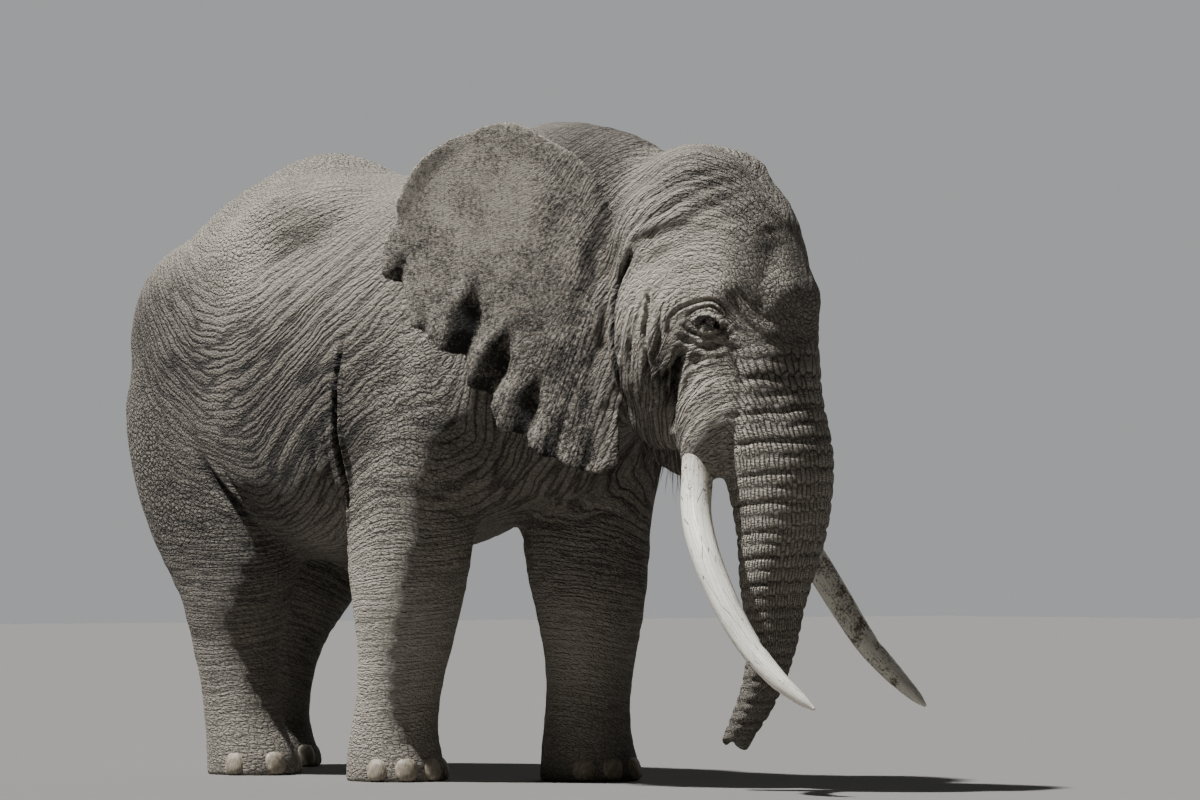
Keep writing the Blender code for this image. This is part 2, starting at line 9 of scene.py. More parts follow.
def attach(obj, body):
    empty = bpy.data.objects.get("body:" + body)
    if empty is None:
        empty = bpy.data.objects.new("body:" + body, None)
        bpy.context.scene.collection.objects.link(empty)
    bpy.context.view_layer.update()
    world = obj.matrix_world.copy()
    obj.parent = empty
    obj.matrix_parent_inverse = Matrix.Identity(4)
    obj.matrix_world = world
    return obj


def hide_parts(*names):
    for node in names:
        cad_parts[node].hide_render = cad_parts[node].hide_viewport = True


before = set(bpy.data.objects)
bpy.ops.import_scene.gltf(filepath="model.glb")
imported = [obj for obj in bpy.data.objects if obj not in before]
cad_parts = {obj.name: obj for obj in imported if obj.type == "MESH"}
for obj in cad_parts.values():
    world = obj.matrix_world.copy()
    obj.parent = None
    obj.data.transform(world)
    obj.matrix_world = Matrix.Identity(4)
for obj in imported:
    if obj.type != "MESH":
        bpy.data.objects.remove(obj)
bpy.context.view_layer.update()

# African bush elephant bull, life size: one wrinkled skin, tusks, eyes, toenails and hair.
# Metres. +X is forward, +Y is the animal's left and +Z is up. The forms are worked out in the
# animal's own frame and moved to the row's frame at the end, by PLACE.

rng = np.random.default_rng(7)

PLACE = np.array([0.218, 0.0696, 0.0])  # from the animal's own frame to the row's
HEAD_PLACE = np.array([1.644, 0.12, 2.32])  # the point between the eyes
HEAD_YAW = math.radians(13)  # the head is turned to its left
EYE = np.array([0.031, 0.320, -0.015])  # the middle of an eyeball, in the head's frame
EYE_RADIUS = 0.027
BASE_VOXEL = 0.020
SKIN_VOXEL = 0.0115
SKIN_TRIANGLES = 196000
THIN_FACTOR = 0.001
CREASE_GAP = 0.8  # the gaps between creases, as a share of those in the tables
CREASE_WAY = (0.45, 0.62, 0.64)  # the way patterns of skin shift in space as creases are counted
TRUNK_BARS = 33  # bars round each half of the trunk
HEAD_START = -0.62  # the folds of the head lie ahead of this place in its frame
TOES = {"fore": 4, "hind": 3}
NAIL_HEIGHT = 0.065
HAIR_PATCH = 0.003  # how wide one hair's patch of the unwrap is
LENS = 175.5  # mm
CAMERA_PLACE = (23.289, -18.971, 1.15)  # in the animal's own frame
CAMERA_RISE, CAMERA_TURN = 1.537, 50  # degrees up from level, and round +Z from facing +Y

# The trunk of the body, forwards: x, top, bottom, half width, how much narrower its top is.
BODY = (
    (-2.82, 2.36, 1.96, 0.20, 0.00),
    (-2.74, 2.54, 1.70, 0.40, 0.00),
    (-2.52, 2.84, 1.44, 0.55, 0.06),
    (-2.22, 3.09, 1.27, 0.65, 0.14),
    (-1.85, 3.24, 1.17, 0.71, 0.24),
    (-1.50, 3.31, 1.13, 0.75, 0.26),
    (-1.10, 3.19, 1.13, 0.77, 0.24),
    (-0.70, 3.15, 1.18, 0.75, 0.22),
    (-0.35, 3.23, 1.27, 0.68, 0.22),
    (0.00, 3.32, 1.36, 0.58, 0.24),
    (0.35, 3.37, 1.50, 0.48, 0.22),
    (0.70, 3.33, 1.70, 0.40, 0.16),
    (1.00, 3.24, 1.92, 0.36, 0.08),
    (1.30, 3.05, 2.08, 0.30, 0.00),
)
# A leg, downwards: height, offset of its middle, half length, half thickness, offset outwards.
FORELEG = (
    (2.75, 0.10, 0.20, 0.08, -0.04),
    (2.45, 0.12, 0.36, 0.17, 0.00),
    (2.05, 0.07, 0.45, 0.24, 0.02),
    (1.65, -0.01, 0.43, 0.27, 0.02),
    (1.35, -0.04, 0.39, 0.28, 0.00),
    (1.09, -0.03, 0.35, 0.28, 0.00),
    (0.85, 0.00, 0.29, 0.26, 0.00),
    (0.60, 0.01, 0.235, 0.225, 0.00),
    (0.40, 0.00, 0.222, 0.215, 0.00),
    (0.22, 0.00, 0.235, 0.225, 0.00),
    (0.08, 0.02, 0.262, 0.245, 0.00),
    (-0.12, 0.02, 0.262, 0.245, 0.00),
)
HINDLEG = (
    (2.70, 0.02, 0.28, 0.12, -0.06),
    (2.40, -0.06, 0.50, 0.24, 0.00),
    (2.05, -0.12, 0.60, 0.30, 0.02),
    (1.75, -0.10, 0.60, 0.31, 0.04),
    (1.42, -0.05, 0.58, 0.30, 0.04),
    (1.15, -0.01, 0.49, 0.27, 0.03),
    (0.92, 0.00, 0.37, 0.235, 0.02),
    (0.70, -0.06, 0.275, 0.21, 0.00),
    (0.48, -0.06, 0.225, 0.195, 0.00),
    (0.26, -0.04, 0.225, 0.205, 0.00),
    (0.08, 0.02, 0.262, 0.225, 0.00),
    (-0.12, 0.03, 0.265, 0.225, 0.00),
)
LEGS = {"fore": FORELEG, "hind": HINDLEG}
# Where each leg stands: the sole's x and y, and the x where the leg joins the body.
STANCE = {
    "fore_right": (-0.50, -0.40, -0.20),
    "fore_left": (0.10, 0.40, 0.16),
    "hind_right": (-1.72, -0.41, -1.95),
    "hind_left": (-2.60, 0.40, -2.08),
}
# The head and trunk, downwards: height above the eyes, front, back, half width.
HEAD = (
    (0.885, -0.20, -0.40, 0.08),
    (0.84, -0.10, -0.47, 0.17),
    (0.756, 0.025, -0.54, 0.245),
    (0.577, 0.21, -0.60, 0.32),
    (0.404, 0.285, -0.63, 0.345),
    (0.18, 0.36, -0.64, 0.35),
    (-0.11, 0.39, -0.56, 0.32),
    (-0.32, 0.40, -0.36, 0.30),
    (-0.50, 0.44, -0.16, 0.28),
    (-0.65, 0.48, -0.08, 0.262),
    (-0.82, 0.485, -0.05, 0.245),
    (-1.04, 0.455, 0.0, 0.22),
    (-1.20, 0.405, 0.01, 0.20),
    (-1.33, 0.36, 0.01, 0.18),
    (-1.45, 0.325, 0.03, 0.15),
    (-1.60, 0.30, 0.04, 0.13),
    (-1.80, 0.225, 0.00, 0.113),
    (-1.98, 0.12, -0.085, 0.10),
    (-2.10, 0.01, -0.155, 0.085),
)
# A tusk, outwards from its sheath, in the head's frame: ahead, aside, above the eyes, and girth.
TUSK = (
    (-0.08, 0.27, -0.62, 1.00),
    (-0.07, 0.30, -0.80, 0.99),
    (-0.02, 0.37, -0.98, 0.95),
    (0.10, 0.45, -1.18, 0.90),
    (0.235, 0.488, -1.39, 0.84),
    (0.381, 0.50, -1.59, 0.74),
    (0.547, 0.505, -1.75, 0.60),
    (0.68, 0.49, -1.85, 0.38),
    (0.752, 0.476, -1.90, 0.10),
)
TUSK_GIRTH = 0.078
# Chips in a tusk: how far along, at what angle round it, depth as a share of the radius, size.
TUSK_CHIPS = ((0.72, 2.4, 0.05, 0.022), (1.18, 0.5, 0.12, 0.024), (1.42, 3.6, 0.08, 0.018))
# An ear's outline, round from its upper front corner: distance from the root line, height.
EAR = (
    (0.06, 3.09),
    (0.20, 3.20),
    (0.42, 3.31),
    (0.66, 3.26),
    (0.87, 3.15),
    (1.00, 3.00),
    (1.09, 2.83),
    (1.17, 2.68),
    (1.10, 2.50),
    (1.00, 2.33),
    (0.87, 2.22),
    (0.72, 2.14),
    (0.61, 1.98),
    (0.50, 1.82),
    (0.34, 1.70),
    (0.17, 1.61),
    (0.02, 1.575),
    (-0.08, 1.66),
    (-0.085, 1.86),
    (-0.06, 2.10),
    (-0.05, 2.35),
    (-0.05, 2.62),
    (-0.04, 2.88),
)
EAR_MIDDLE = np.array([0.34, 2.58])
EAR_LEVEL = 2.6  # the height of an ear's root in its own frame
# Tears in an ear's margin: distance from the root line, height and depth.
EAR_TEARS = ((1.05, 2.43, 0.034), (0.66, 2.08, 0.022))
# Each ear: where its root line stands, how far it swings out, how far it droops, and its size.
EARS = {
    "right": ((1.10, -0.37), math.radians(31), 0.0, 1.02),
    "left": ((0.96, 0.34), math.radians(-28), math.radians(-8), 0.92),
}
# The lower jaw and its pointed lip, in the head's frame: ahead, aside, above the eyes, radius.
JAW = (
    (-0.59, 0, -0.30, 0.18),
    (-0.51, 0, -0.44, 0.18),
    (-0.43, 0, -0.56, 0.165),
    (-0.37, 0, -0.67, 0.12),
    (-0.33, 0, -0.75, 0.06),
    (-0.32, 0, -0.81, 0.015),
)
# The tail, downwards: x, y, z, radius.
TAIL = (
    (-2.60, 0.00, 2.50, 0.100),
    (-2.76, 0.02, 2.38, 0.080),
    (-2.86, 0.06, 2.10, 0.060),
    (-2.87, 0.12, 1.75, 0.045),
    (-2.84, 0.17, 1.40, 0.034),
    (-2.80, 0.20, 1.10, 0.028),
    (-2.79, 0.205, 0.98, 0.024),
)


# Arrays of points.


def smoothstep(low, high, x):
    """0 below low, 1 above high and an S curve between them."""
    t = np.clip((x - low) / (high - low), 0, 1)
    return t * t * (3 - 2 * t)


def bump_at(x, middle, width):
    """A bell of height 1 at middle."""
    return np.exp(-(((x - middle) / width) ** 2))


def unit(v):
    return v / np.maximum(np.linalg.norm(v, axis=-1, keepdims=True), 1e-9)


def smooth_rows(rows, count, closed=False):
    """Catmull-Rom curve through the rows, as count rows evenly spaced in the parameter."""
    rows = np.array(rows, float)
    if closed:
        rows = np.vstack([rows[-1], rows, rows[0], rows[1]])
    else:
        rows = np.vstack([2 * rows[0] - rows[1], rows, 2 * rows[-1] - rows[-2]])
    at = np.linspace(0, len(rows) - 3, count, endpoint=not closed)
    first = np.minimum(at.astype(int), len(rows) - 4)
    t = (at - first)[:, None]
    a, b, c, d = (rows[first + k] for k in range(4))
    return 0.5 * (2 * b + (c - a) * t + (2 * a - 5 * b + 4 * c - d) * t**2 + (3 * b - a - 3 * c + d) * t**3)


def grid_faces(rows, sides):
    """The quads of a grid of points, row after row, joined round on itself."""
    i, j = np.meshgrid(np.arange(rows - 1), np.arange(sides), indexing="ij")
    here, beside = i * sides + j, i * sides + (j + 1) % sides
    return np.stack([here, beside, beside + sides, here + sides], -1).reshape(-1, 4)


def capped(rings):
    """Points and faces of a closed form over rings: each end's ring shrinks to its middle."""
    middle = rings.mean(axis=1, keepdims=True)
    rings = np.concatenate([middle[:1] + 0 * rings[:1], rings, middle[-1:] + 0 * rings[-1:]])
    return rings.reshape(-1, 3), grid_faces(*rings.shape[:2])


def circle(count):
    """The angles of this many points round a circle."""
    return np.arange(count) * 2 * math.pi / count


def superellipse(sides, power):
    """The points of a circle squared off a little, as two arrays."""
    c, s = np.cos(circle(sides)), np.sin(circle(sides))
    return np.sign(c) * np.abs(c) ** (2 / power), np.sign(s) * np.abs(s) ** (2 / power)


def columns(table, count):
    """A table's columns, smoothed to this many rows, each as an upright array."""
    return (column[:, None] for column in smooth_rows(table, count).T)


def tube(path, sides, count):
    """Rings round a path of x, y, z and radius."""
    rows = smooth_rows(path, count)
    middle, radius = rows[:, :3], rows[:, 3]
    along = unit(np.gradient(middle, axis=0))
    across = unit(np.cross(along, (0.0, 1.0, 0.0)))
    up = np.cross(across, along)
    c, s = np.cos(circle(sides))[None, :, None], np.sin(circle(sides))[None, :, None]
    return middle[:, None] + radius[:, None, None] * (c * across[:, None] + s * up[:, None])


TURN = np.array([
    [math.cos(HEAD_YAW), -math.sin(HEAD_YAW), 0],
    [math.sin(HEAD_YAW), math.cos(HEAD_YAW), 0],
    [0, 0, 1],
])


def from_head(points):
    """From the head's frame, which starts between the eyes, to the animal's."""
    return points @ TURN.T + HEAD_PLACE


def to_head(points):
    """From the animal's frame to the head's."""
    return (points - HEAD_PLACE) @ TURN


def tilted(angle):
    """Rotation about +Y, nose down."""
    c, s = math.cos(angle), math.sin(angle)
    return np.array([[c, 0, s], [0, 1, 0], [-s, 0, c]])


def body_form():
    """Rings over the table of the body: squared ellipses, narrower above by the table's share."""
    c, s = superellipse(64, 2.3)
    x, top, bottom, half, pear = columns(BODY, 90)
    y = half * c * (1 - pear * s)
    return capped(np.stack([x + 0 * y, y, (top + bottom) / 2 + (top - bottom) / 2 * s], axis=2))


def leg_line(name, z):
    """Where a leg's middle line is along x: over its sole below, and at its joint above."""
    sole_x, _, joint_x = STANCE[name]
    return sole_x + (joint_x - sole_x) * np.clip((z - 0.2) / 1.7, 0, 1)


def leg_form(name):
    """Rings over the table of a leg, round its middle line."""
    c, s = superellipse(48, 2.15)
    sole_y = STANCE[name][1]
    z, offset, half_length, half_width, out = columns(LEGS[name[:4]], 70)
    x = leg_line(name, z) + offset + half_length * c
    y = sole_y + math.copysign(1, sole_y) * out + half_width * s
    return capped(np.stack([x, y, z + 0 * x], axis=2))


def head_form():
    """Rings over the table of the head and trunk, from its front to its back."""
    c, s = superellipse(56, 2.2)
    z, front, back, half = columns(HEAD, 110)
    x = (front + back) / 2 + (front - back) / 2 * c
    points, faces = capped(np.stack([x, half * s, z + 0 * x], axis=2))
    return from_head(points), faces


def ball(centre, half, tilt=0.0, in_head=False):
    """A rounded mass with these half sizes, tilted nose down."""
    turn = np.linspace(0.02, math.pi - 0.02, 24)[:, None]
    x, y = np.sin(turn) * np.cos(circle(36)), np.sin(turn) * np.sin(circle(36))
    points, faces = capped(np.stack([x, y, np.cos(turn) + 0 * x], axis=2) * half)
    points = points @ tilted(tilt).T + centre
    return (from_head(points) if in_head else points), faces


def side_forms(side):
    """The muscles and bones that show on one side."""
    return [
        ball((-1.62, side * 0.43, 2.66), (0.36, 0.22, 0.30), 0.3),
        ball((-2.22, side * 0.37, 2.32), (0.52, 0.29, 0.54)),
        ball((-1.30, side * 0.30, 2.85), (0.60, 0.30, 0.32)),
        ball((-2.50, side * 0.33, 2.08), (0.28, 0.24, 0.50)),
        ball((-0.02, side * 0.40, 2.66), (0.40, 0.20, 0.52), -0.15),
        ball((0.22, side * 0.38, 2.05), (0.34, 0.20, 0.34)),
        ball((-1.05, side * 0.40, 1.75), (0.75, 0.36, 0.56)),
        ball((-0.33, side * 0.25, -0.06), (0.29, 0.20, 0.42), 0.1, True),
        ball((-0.33, side * 0.185, -0.42), (0.24, 0.15, 0.24), 0.3, True),
        ball((0.03, side * 0.245, 0.12), (0.17, 0.105, 0.13), 0.3, True),
        ball((0.00, side * 0.225, -0.02), (0.15, 0.115, 0.12), 0, True),
        ball((-0.38, side * 0.22, 0.40), (0.24, 0.18, 0.28), 0, True),
        ball((-0.20, side * 0.12, 0.70), (0.26, 0.16, 0.17), 0, True),
        ball((-0.075, side * 0.26, -0.49), (0.150, 0.120, 0.36), -0.05, True),
        ball((0.165, side * 0.12, -0.30), (0.19, 0.17, 0.40), 0, True),
    ]


def flesh_forms():
    """Every form of the flesh but the ears, the jaw and the tail."""
    forms = [body_form(), head_form()] + [leg_form(name) for name in STANCE]
    forms += side_forms(-1) + side_forms(1)
    forms.append(ball((0.36, 0.0, 1.74), (0.26, 0.24, 0.32)))
    forms.append(ball((-1.20, 0, 1.16), (0.36, 0.13, 0.13), 0.1))
    forms.append(ball((-0.42, 0, -0.38), (0.34, 0.20, 0.26), 0.3, True))
    return forms


# Meshes.


def joined(forms):
    """Several forms' points and faces as one."""
    starts = np.cumsum([0] + [len(points) for points, _ in forms[:-1]])
    faces = [form[1] + start for form, start in zip(forms, starts)]
    return np.vstack([points for points, _ in forms]), np.vstack(faces)


def placed(name, data):
    """An object in the scene for a mesh, a light or a camera."""
    made = bpy.data.objects.new(name, data)
    bpy.context.scene.collection.objects.link(made)
    return made


def mesh_object(name, points, faces):
    """An object from points and from faces of four corners, of which a triangle gives one twice."""
    mesh = bpy.data.meshes.new(name)
    size = np.where(faces[:, 2] == faces[:, -1], 3, 4)
    corners = faces[np.arange(4) < size[:, None]]
    mesh.vertices.add(len(points))
    mesh.vertices.foreach_set("co", np.asarray(points, np.float32).ravel())
    mesh.loops.add(len(corners))
    mesh.loops.foreach_set("vertex_index", corners.astype(np.int32))
    mesh.polygons.add(len(faces))
    mesh.polygons.foreach_set("loop_start", (np.cumsum(size) - size).astype(np.int32))
    mesh.update(calc_edges=True)
    mesh.validate()
    return placed(name, mesh)


def cleaned(thing, gap=1e-5):
    """Welds points that coincide and turns the faces outwards."""
    shape = bmesh.new()
    shape.from_mesh(thing.data)
    bmesh.ops.remove_doubles(shape, verts=shape.verts, dist=gap)
    bmesh.ops.recalc_face_normals(shape, faces=shape.faces)
    shape.to_mesh(thing.data)
    shape.free()
    return thing


def evaluated(thing, name):
    """A new object with the mesh that this one's modifiers give, in place of it."""
    graph = bpy.context.evaluated_depsgraph_get()
    mesh = bpy.data.meshes.new_from_object(thing.evaluated_get(graph))
    bpy.data.objects.remove(thing, do_unlink=True)
    return placed(name, mesh)


def arrays(mesh):
    """A mesh's points, and its faces' corners as quads, a triangle's last corner given twice."""
    points = np.empty(len(mesh.vertices) * 3, np.float32)
    mesh.vertices.foreach_get("co", points)
    corners = np.empty(len(mesh.loops), np.int32)
    mesh.loops.foreach_get("vertex_index", corners)
    start = np.empty(len(mesh.polygons), np.int32)
    size = np.empty(len(mesh.polygons), np.int32)
    mesh.polygons.foreach_get("loop_start", start)
    mesh.polygons.foreach_get("loop_total", size)
    faces = np.stack([corners[start + np.minimum(k, size - 1)] for k in range(4)], axis=1)
    return points.reshape(-1, 3).astype(float), faces


def edges_of(faces):
    """The pairs of points that an edge joins, each pair once."""
    ends = np.sort(np.concatenate([faces[:, [k, (k + 1) % 4]] for k in range(4)]), axis=1)
    ends = ends[ends[:, 0] != ends[:, 1]]
    count = faces.max() + 1
    key = np.unique(ends[:, 0].astype(np.int64) * count + ends[:, 1])
    return np.stack([key // count, key % count], axis=1)


def normals_of(points, faces):
    """Each point's outward direction."""
    corners = [points[faces[:, k]] for k in range(4)]
    across = np.cross(corners[2] - corners[0], corners[3] - corners[1])
    count = len(points)
    total = [sum(np.bincount(faces[:, k], across[:, a], count) for k in range(4)) for a in range(3)]
    return unit(np.stack(total, 1))


def relaxed(values, edges, times, share=0.5):
    """Values or points drawn towards the mean of their neighbours, many times over."""
    flat = values.reshape(len(values), -1).copy()
    count = len(flat)
    one, two = edges.T
    weight = np.maximum(np.bincount(edges.ravel(), minlength=count)[:, None], 1)
    for _ in range(times):
        total = [np.bincount(one, column[two], count) + np.bincount(two, column[one], count)
                 for column in flat.T]
        flat += share * (np.stack(total, 1) / weight - flat)
    return flat.reshape(values.shape)


def voxels(thing, size, name):
    """The outer surface of a mesh, made again as even quads of this size."""
    cut = thing.modifiers.new("Voxels", "REMESH")
    cut.mode = "VOXEL"
    cut.voxel_size = size
    return evaluated(thing, name)


def noise(points, size, seed):
    """Smooth noise from -1 to 1 whose lumps are size across: random values at the corners of a grid
    of cubes, blended with an S curve inside each cube."""
    at = points / size
    low = np.floor(at).astype(np.int64)
    t = at - low
    t = t * t * (3 - 2 * t)
    total = np.zeros(len(at))
    for corner in range(8):
        step = np.array([corner & 1, corner >> 1 & 1, corner >> 2])
        share = np.prod(np.where(step, t, 1 - t), axis=1)
        total += share * scatter(low + step, seed)
    return total


def scatter(cell, seed):
    """A random value from -1 to 1 for each whole-numbered cell."""
    key = (cell[:, 0] * 73856093) ^ (cell[:, 1] * 19349663) ^ (cell[:, 2] * 83492791) ^ (seed * 2654435761)
    key = (key ^ (key >> 13)) * 1274126177 & 0xFFFFFFFF
    key = (key ^ (key >> 16)) * 2246822519 & 0xFFFFFFFF
    return (key ^ (key >> 15)) / 2147483648.0 - 1


def cell_gap(points, seed, jitter=0.9):
    """How far each point is from the border between random cells about 1 across: the distance to
    the second nearest cell middle less that to the nearest."""
    low = np.floor(points).astype(np.int64)
    nearest = np.full(len(points), 9.0)
    second = np.full(len(points), 9.0)
    for step in np.ndindex(3, 3, 3):
        cell = low + np.array(step) - 1
        middle = cell + 0.5 + 0.5 * jitter * np.stack([scatter(cell, seed + k) for k in range(3)], 1)
        far = np.linalg.norm(points - middle, axis=1)
        second = np.minimum(second, np.maximum(far, nearest))
        nearest = np.minimum(nearest, far)
    return second - nearest


def ear_frame(name):
    """An ear's root, and its directions backwards, outwards and upwards as rows of a matrix."""
    (root_x, root_y), swing, droop, size = EARS[name]
    side = math.copysign(1, root_y)
    back = np.array([-math.cos(swing), -math.sin(swing), 0])
    out = side * np.array([math.sin(abs(swing)), math.cos(swing), 0])
    up = np.array([0, 0, 1.0])
    c, s = math.cos(droop), math.sin(droop)
    axes = np.array([c * back + s * up, out, c * up - s * back]) * size
    return np.array([root_x, root_y, EAR_LEVEL]), axes


# The valleys that hang open along an ear's lower margin: where each crosses the level of the chest,
# its depth, and how near the margin it starts.
EAR_VALLEYS = (
    (1.31, 0.100, 0.68),
    (1.05, 0.030, 0.66),
    (0.81, 0.090, 0.24),
    (0.57, 0.090, 0.34),
    (0.31, 0.085, 0.44),
    (0.11, 0.060, 0.56),
    (-0.07, 0.050, 0.66),
)


def ear_bend(across, height):
    """A measure over an ear that grows rearwards across its folds, and wanders a little along them."""
    return (across + 0.45 * (height - 2.0) + 0.014 * np.sin(9 * height)
            + 0.010 * np.sin(23 * height + 9 * across))


def ear_relief(across, height, radius):
    """How far out of its plane an ear lies: a shallow bowl, a rolled lip along the upper rear
    margin, and folds along the lower margin. Rearwards over a fold the ear sinks slowly into a
    valley and then rises at once over the lip of the next."""
    bowl = 0.10 * (across - 0.45) ** 2 - 0.05 * np.clip(height - 2.9, 0, 1)
    bend = ear_bend(across, height)
    folds = 0
    for middle, depth, start in EAR_VALLEYS:
        open_by = smoothstep(start, start + 0.40, radius)
        wide = 0.033 + 0.027 * open_by
        far = bend - middle
        sink = -np.exp(-np.abs(np.minimum(far, 0)) / wide)
        rise = 0.55 * np.exp(-np.maximum(far - wide, 0) / wide)
        shape = sink + (rise - sink) * smoothstep(-0.1, 1.0, far / wide)
        folds = folds + depth * shape * open_by**0.8
    folds = folds * smoothstep(2.95, 2.45, height)
    small = 0.008 * np.sin(2 * math.pi * bend / 0.062) * smoothstep(0.4, 1.0, radius)
    small = small * smoothstep(3.0, 2.5, height)
    lip = 0.040 * smoothstep(0.88, 0.99, radius) * smoothstep(2.80, 2.95, height)
    lip = lip * smoothstep(0.55, 0.85, across)
    swell = 0.045 * np.sin(4.2 * across + 2.1 * height) * radius * (1 - radius)
    vein = 0.010 * np.sin(9 * across + 6 * height + 2 * np.sin(5 * across)) * radius * (1 - radius)
    root = 0.012 * np.cos(2 * math.pi * across / 0.075) * smoothstep(0.22, 0.05, across)
    root = root * smoothstep(3.0, 2.6, height)
    return folds + small - bowl + lip + swell + vein + root


def ear_form(name):
    """An ear as a closed sheet: rings between its middle and its outline, given a thickness that
    thins and rounds off at the margin. The outline is a little ragged and torn at the rear."""
    sides, rings = 420, 80
    margin = smooth_rows(EAR, sides, closed=True)
    ragged = smoothstep(2.9, 2.6, margin[:, 1]) * smoothstep(0.05, 0.4, margin[:, 0])
    around = np.stack([margin[:, 0], margin[:, 1], 0 * margin[:, 0]], 1)
    torn = 0.008 * noise(around, 0.09, 3) + 0.012 * noise(around, 0.2, 5)
    for across, height, depth in EAR_TEARS:
        torn -= depth * bump_at(np.hypot(margin[:, 0] - across, margin[:, 1] - height), 0, 0.03)
    margin = margin + (ragged * torn)[:, None] * unit(margin - EAR_MIDDLE)
    step = np.linspace(0, 1, rings)
    turning = 0.975 + 0.025 * np.sin((step - 0.8) / 0.2 * math.pi / 2)
    share = np.where(step < 0.8, step / 0.8 * 0.975, turning)[:, None]
    flat = EAR_MIDDLE + share[:, :, None] * (margin - EAR_MIDDLE)
    across, height = flat[..., 0], flat[..., 1]
    out = ear_relief(across, height, share + 0 * across)
    edge = np.sqrt(np.clip(1 - ((share - 0.975) / 0.025).clip(0, 1) ** 2, 0, 1))
    middle = np.stack([across, out, height - EAR_LEVEL], 2)
    round_by = np.roll(middle, -1, axis=1) - np.roll(middle, 1, axis=1)
    facing = unit(np.cross(np.gradient(middle, axis=0), round_by))
    facing[0] = facing[1].mean(axis=0)
    half = ((0.024 - 0.011 * share) * edge + 0 * across)[..., None] * facing
    rings_3d = np.concatenate([middle + half, (middle - half)[::-1][1:]])
    root, axes = ear_frame(name)
    return rings_3d.reshape(-1, 3) @ axes + root, grid_faces(len(rings_3d), sides)


# The lie of the creases. Each row: where, the way the creases run in degrees above forwards, the
# gap between creases, how strong the creases across them are, and how deep they all are.
BODY_LIE = (
    (-2.70, 2.60, -62, 0.040, 0.5, 0.5),
    (-2.30, 2.75, -55, 0.040, 0.4, 0.6),
    (-2.05, 2.45, -40, 0.042, 0.3, 0.8),
    (-2.60, 2.15, -72, 0.045, 0.7, 0.8),
    (-1.85, 2.98, 5, 0.035, 0.8, 0.75),
    (-1.60, 3.25, 15, 0.030, 0.9, 0.75),
    (-1.62, 2.70, 5, 0.050, 0.9, 0.7),
    (-1.95, 2.20, 0, 0.045, 0.25, 0.9),
    (-1.68, 2.28, 20, 0.045, 0.2, 1.0),
    (-1.30, 2.60, 28, 0.045, 0.25, 0.9),
    (-1.05, 2.90, 25, 0.042, 0.4, 0.7),
    (-0.60, 3.05, 25, 0.035, 0.7, 0.65),
    (0.00, 3.30, 20, 0.030, 0.9, 0.6),
    (-1.40, 2.15, 36, 0.045, 0.2, 1.0),
    (-0.95, 2.30, 52, 0.045, 0.15, 1.0),
    (-0.60, 2.60, 45, 0.042, 0.25, 0.9),
    (-0.20, 2.80, 45, 0.035, 0.6, 0.5),
    (-0.60, 2.05, 68, 0.045, 0.15, 1.0),
    (-0.42, 2.30, 70, 0.042, 0.25, 1.0),
    (-0.45, 1.80, 84, 0.045, 0.2, 1.0),
    (-0.60, 1.55, 72, 0.045, 0.3, 1.0),
    (-0.95, 1.75, 58, 0.045, 0.2, 1.0),
    (-1.00, 1.42, 30, 0.042, 0.3, 0.9),
    (-1.50, 1.85, 10, 0.035, 0.4, 0.7),
    (-1.45, 1.50, -35, 0.035, 0.5, 0.8),
    (-1.80, 1.75, -30, 0.035, 0.5, 0.6),
    (-2.65, 1.80, -80, 0.045, 0.9, 1.0),
    (-2.30, 1.70, -82, 0.045, 0.95, 1.0),
    (-2.10, 1.35, -80, 0.042, 0.7, 1.0),
    (-1.80, 1.20, -70, 0.042, 0.6, 1.0),
    (-2.40, 1.30, -85, 0.042, 0.7, 1.0),
    (-0.30, 2.35, 62, 0.040, 0.3, 0.8),
    (-0.28, 2.00, 36, 0.036, 0.5, 1.0),
    (-0.05, 2.20, 40, 0.036, 0.5, 0.9),
    (-0.25, 1.70, 18, 0.036, 0.5, 1.0),
    (0.05, 1.85, 14, 0.036, 0.5, 1.0),
    (-0.20, 1.40, 4, 0.036, 0.5, 1.0),
    (0.30, 2.30, 96, 0.042, 0.3, 0.9),
    (0.50, 1.90, 106, 0.042, 0.3, 1.0),
    (0.35, 1.60, 60, 0.040, 0.3, 0.9),
    (0.75, 2.50, 98, 0.045, 0.3, 0.8),
    (0.60, 3.00, 92, 0.040, 0.5, 0.6),
    (0.90, 2.00, 104, 0.045, 0.3, 0.9),
)
LEG_LIE = (
    (-0.3, 1.20, -2, 0.034, 0.45, 1.0),
    (0.3, 1.20, 4, 0.034, 0.45, 1.0),
    (-0.3, 0.80, 6, 0.032, 0.45, 0.9),
    (0.3, 0.80, -8, 0.032, 0.45, 0.9),
    (0.0, 0.50, 0, 0.032, 0.5, 0.7),
    (0.0, 0.10, 0, 0.030, 0.8, 0.5),
)
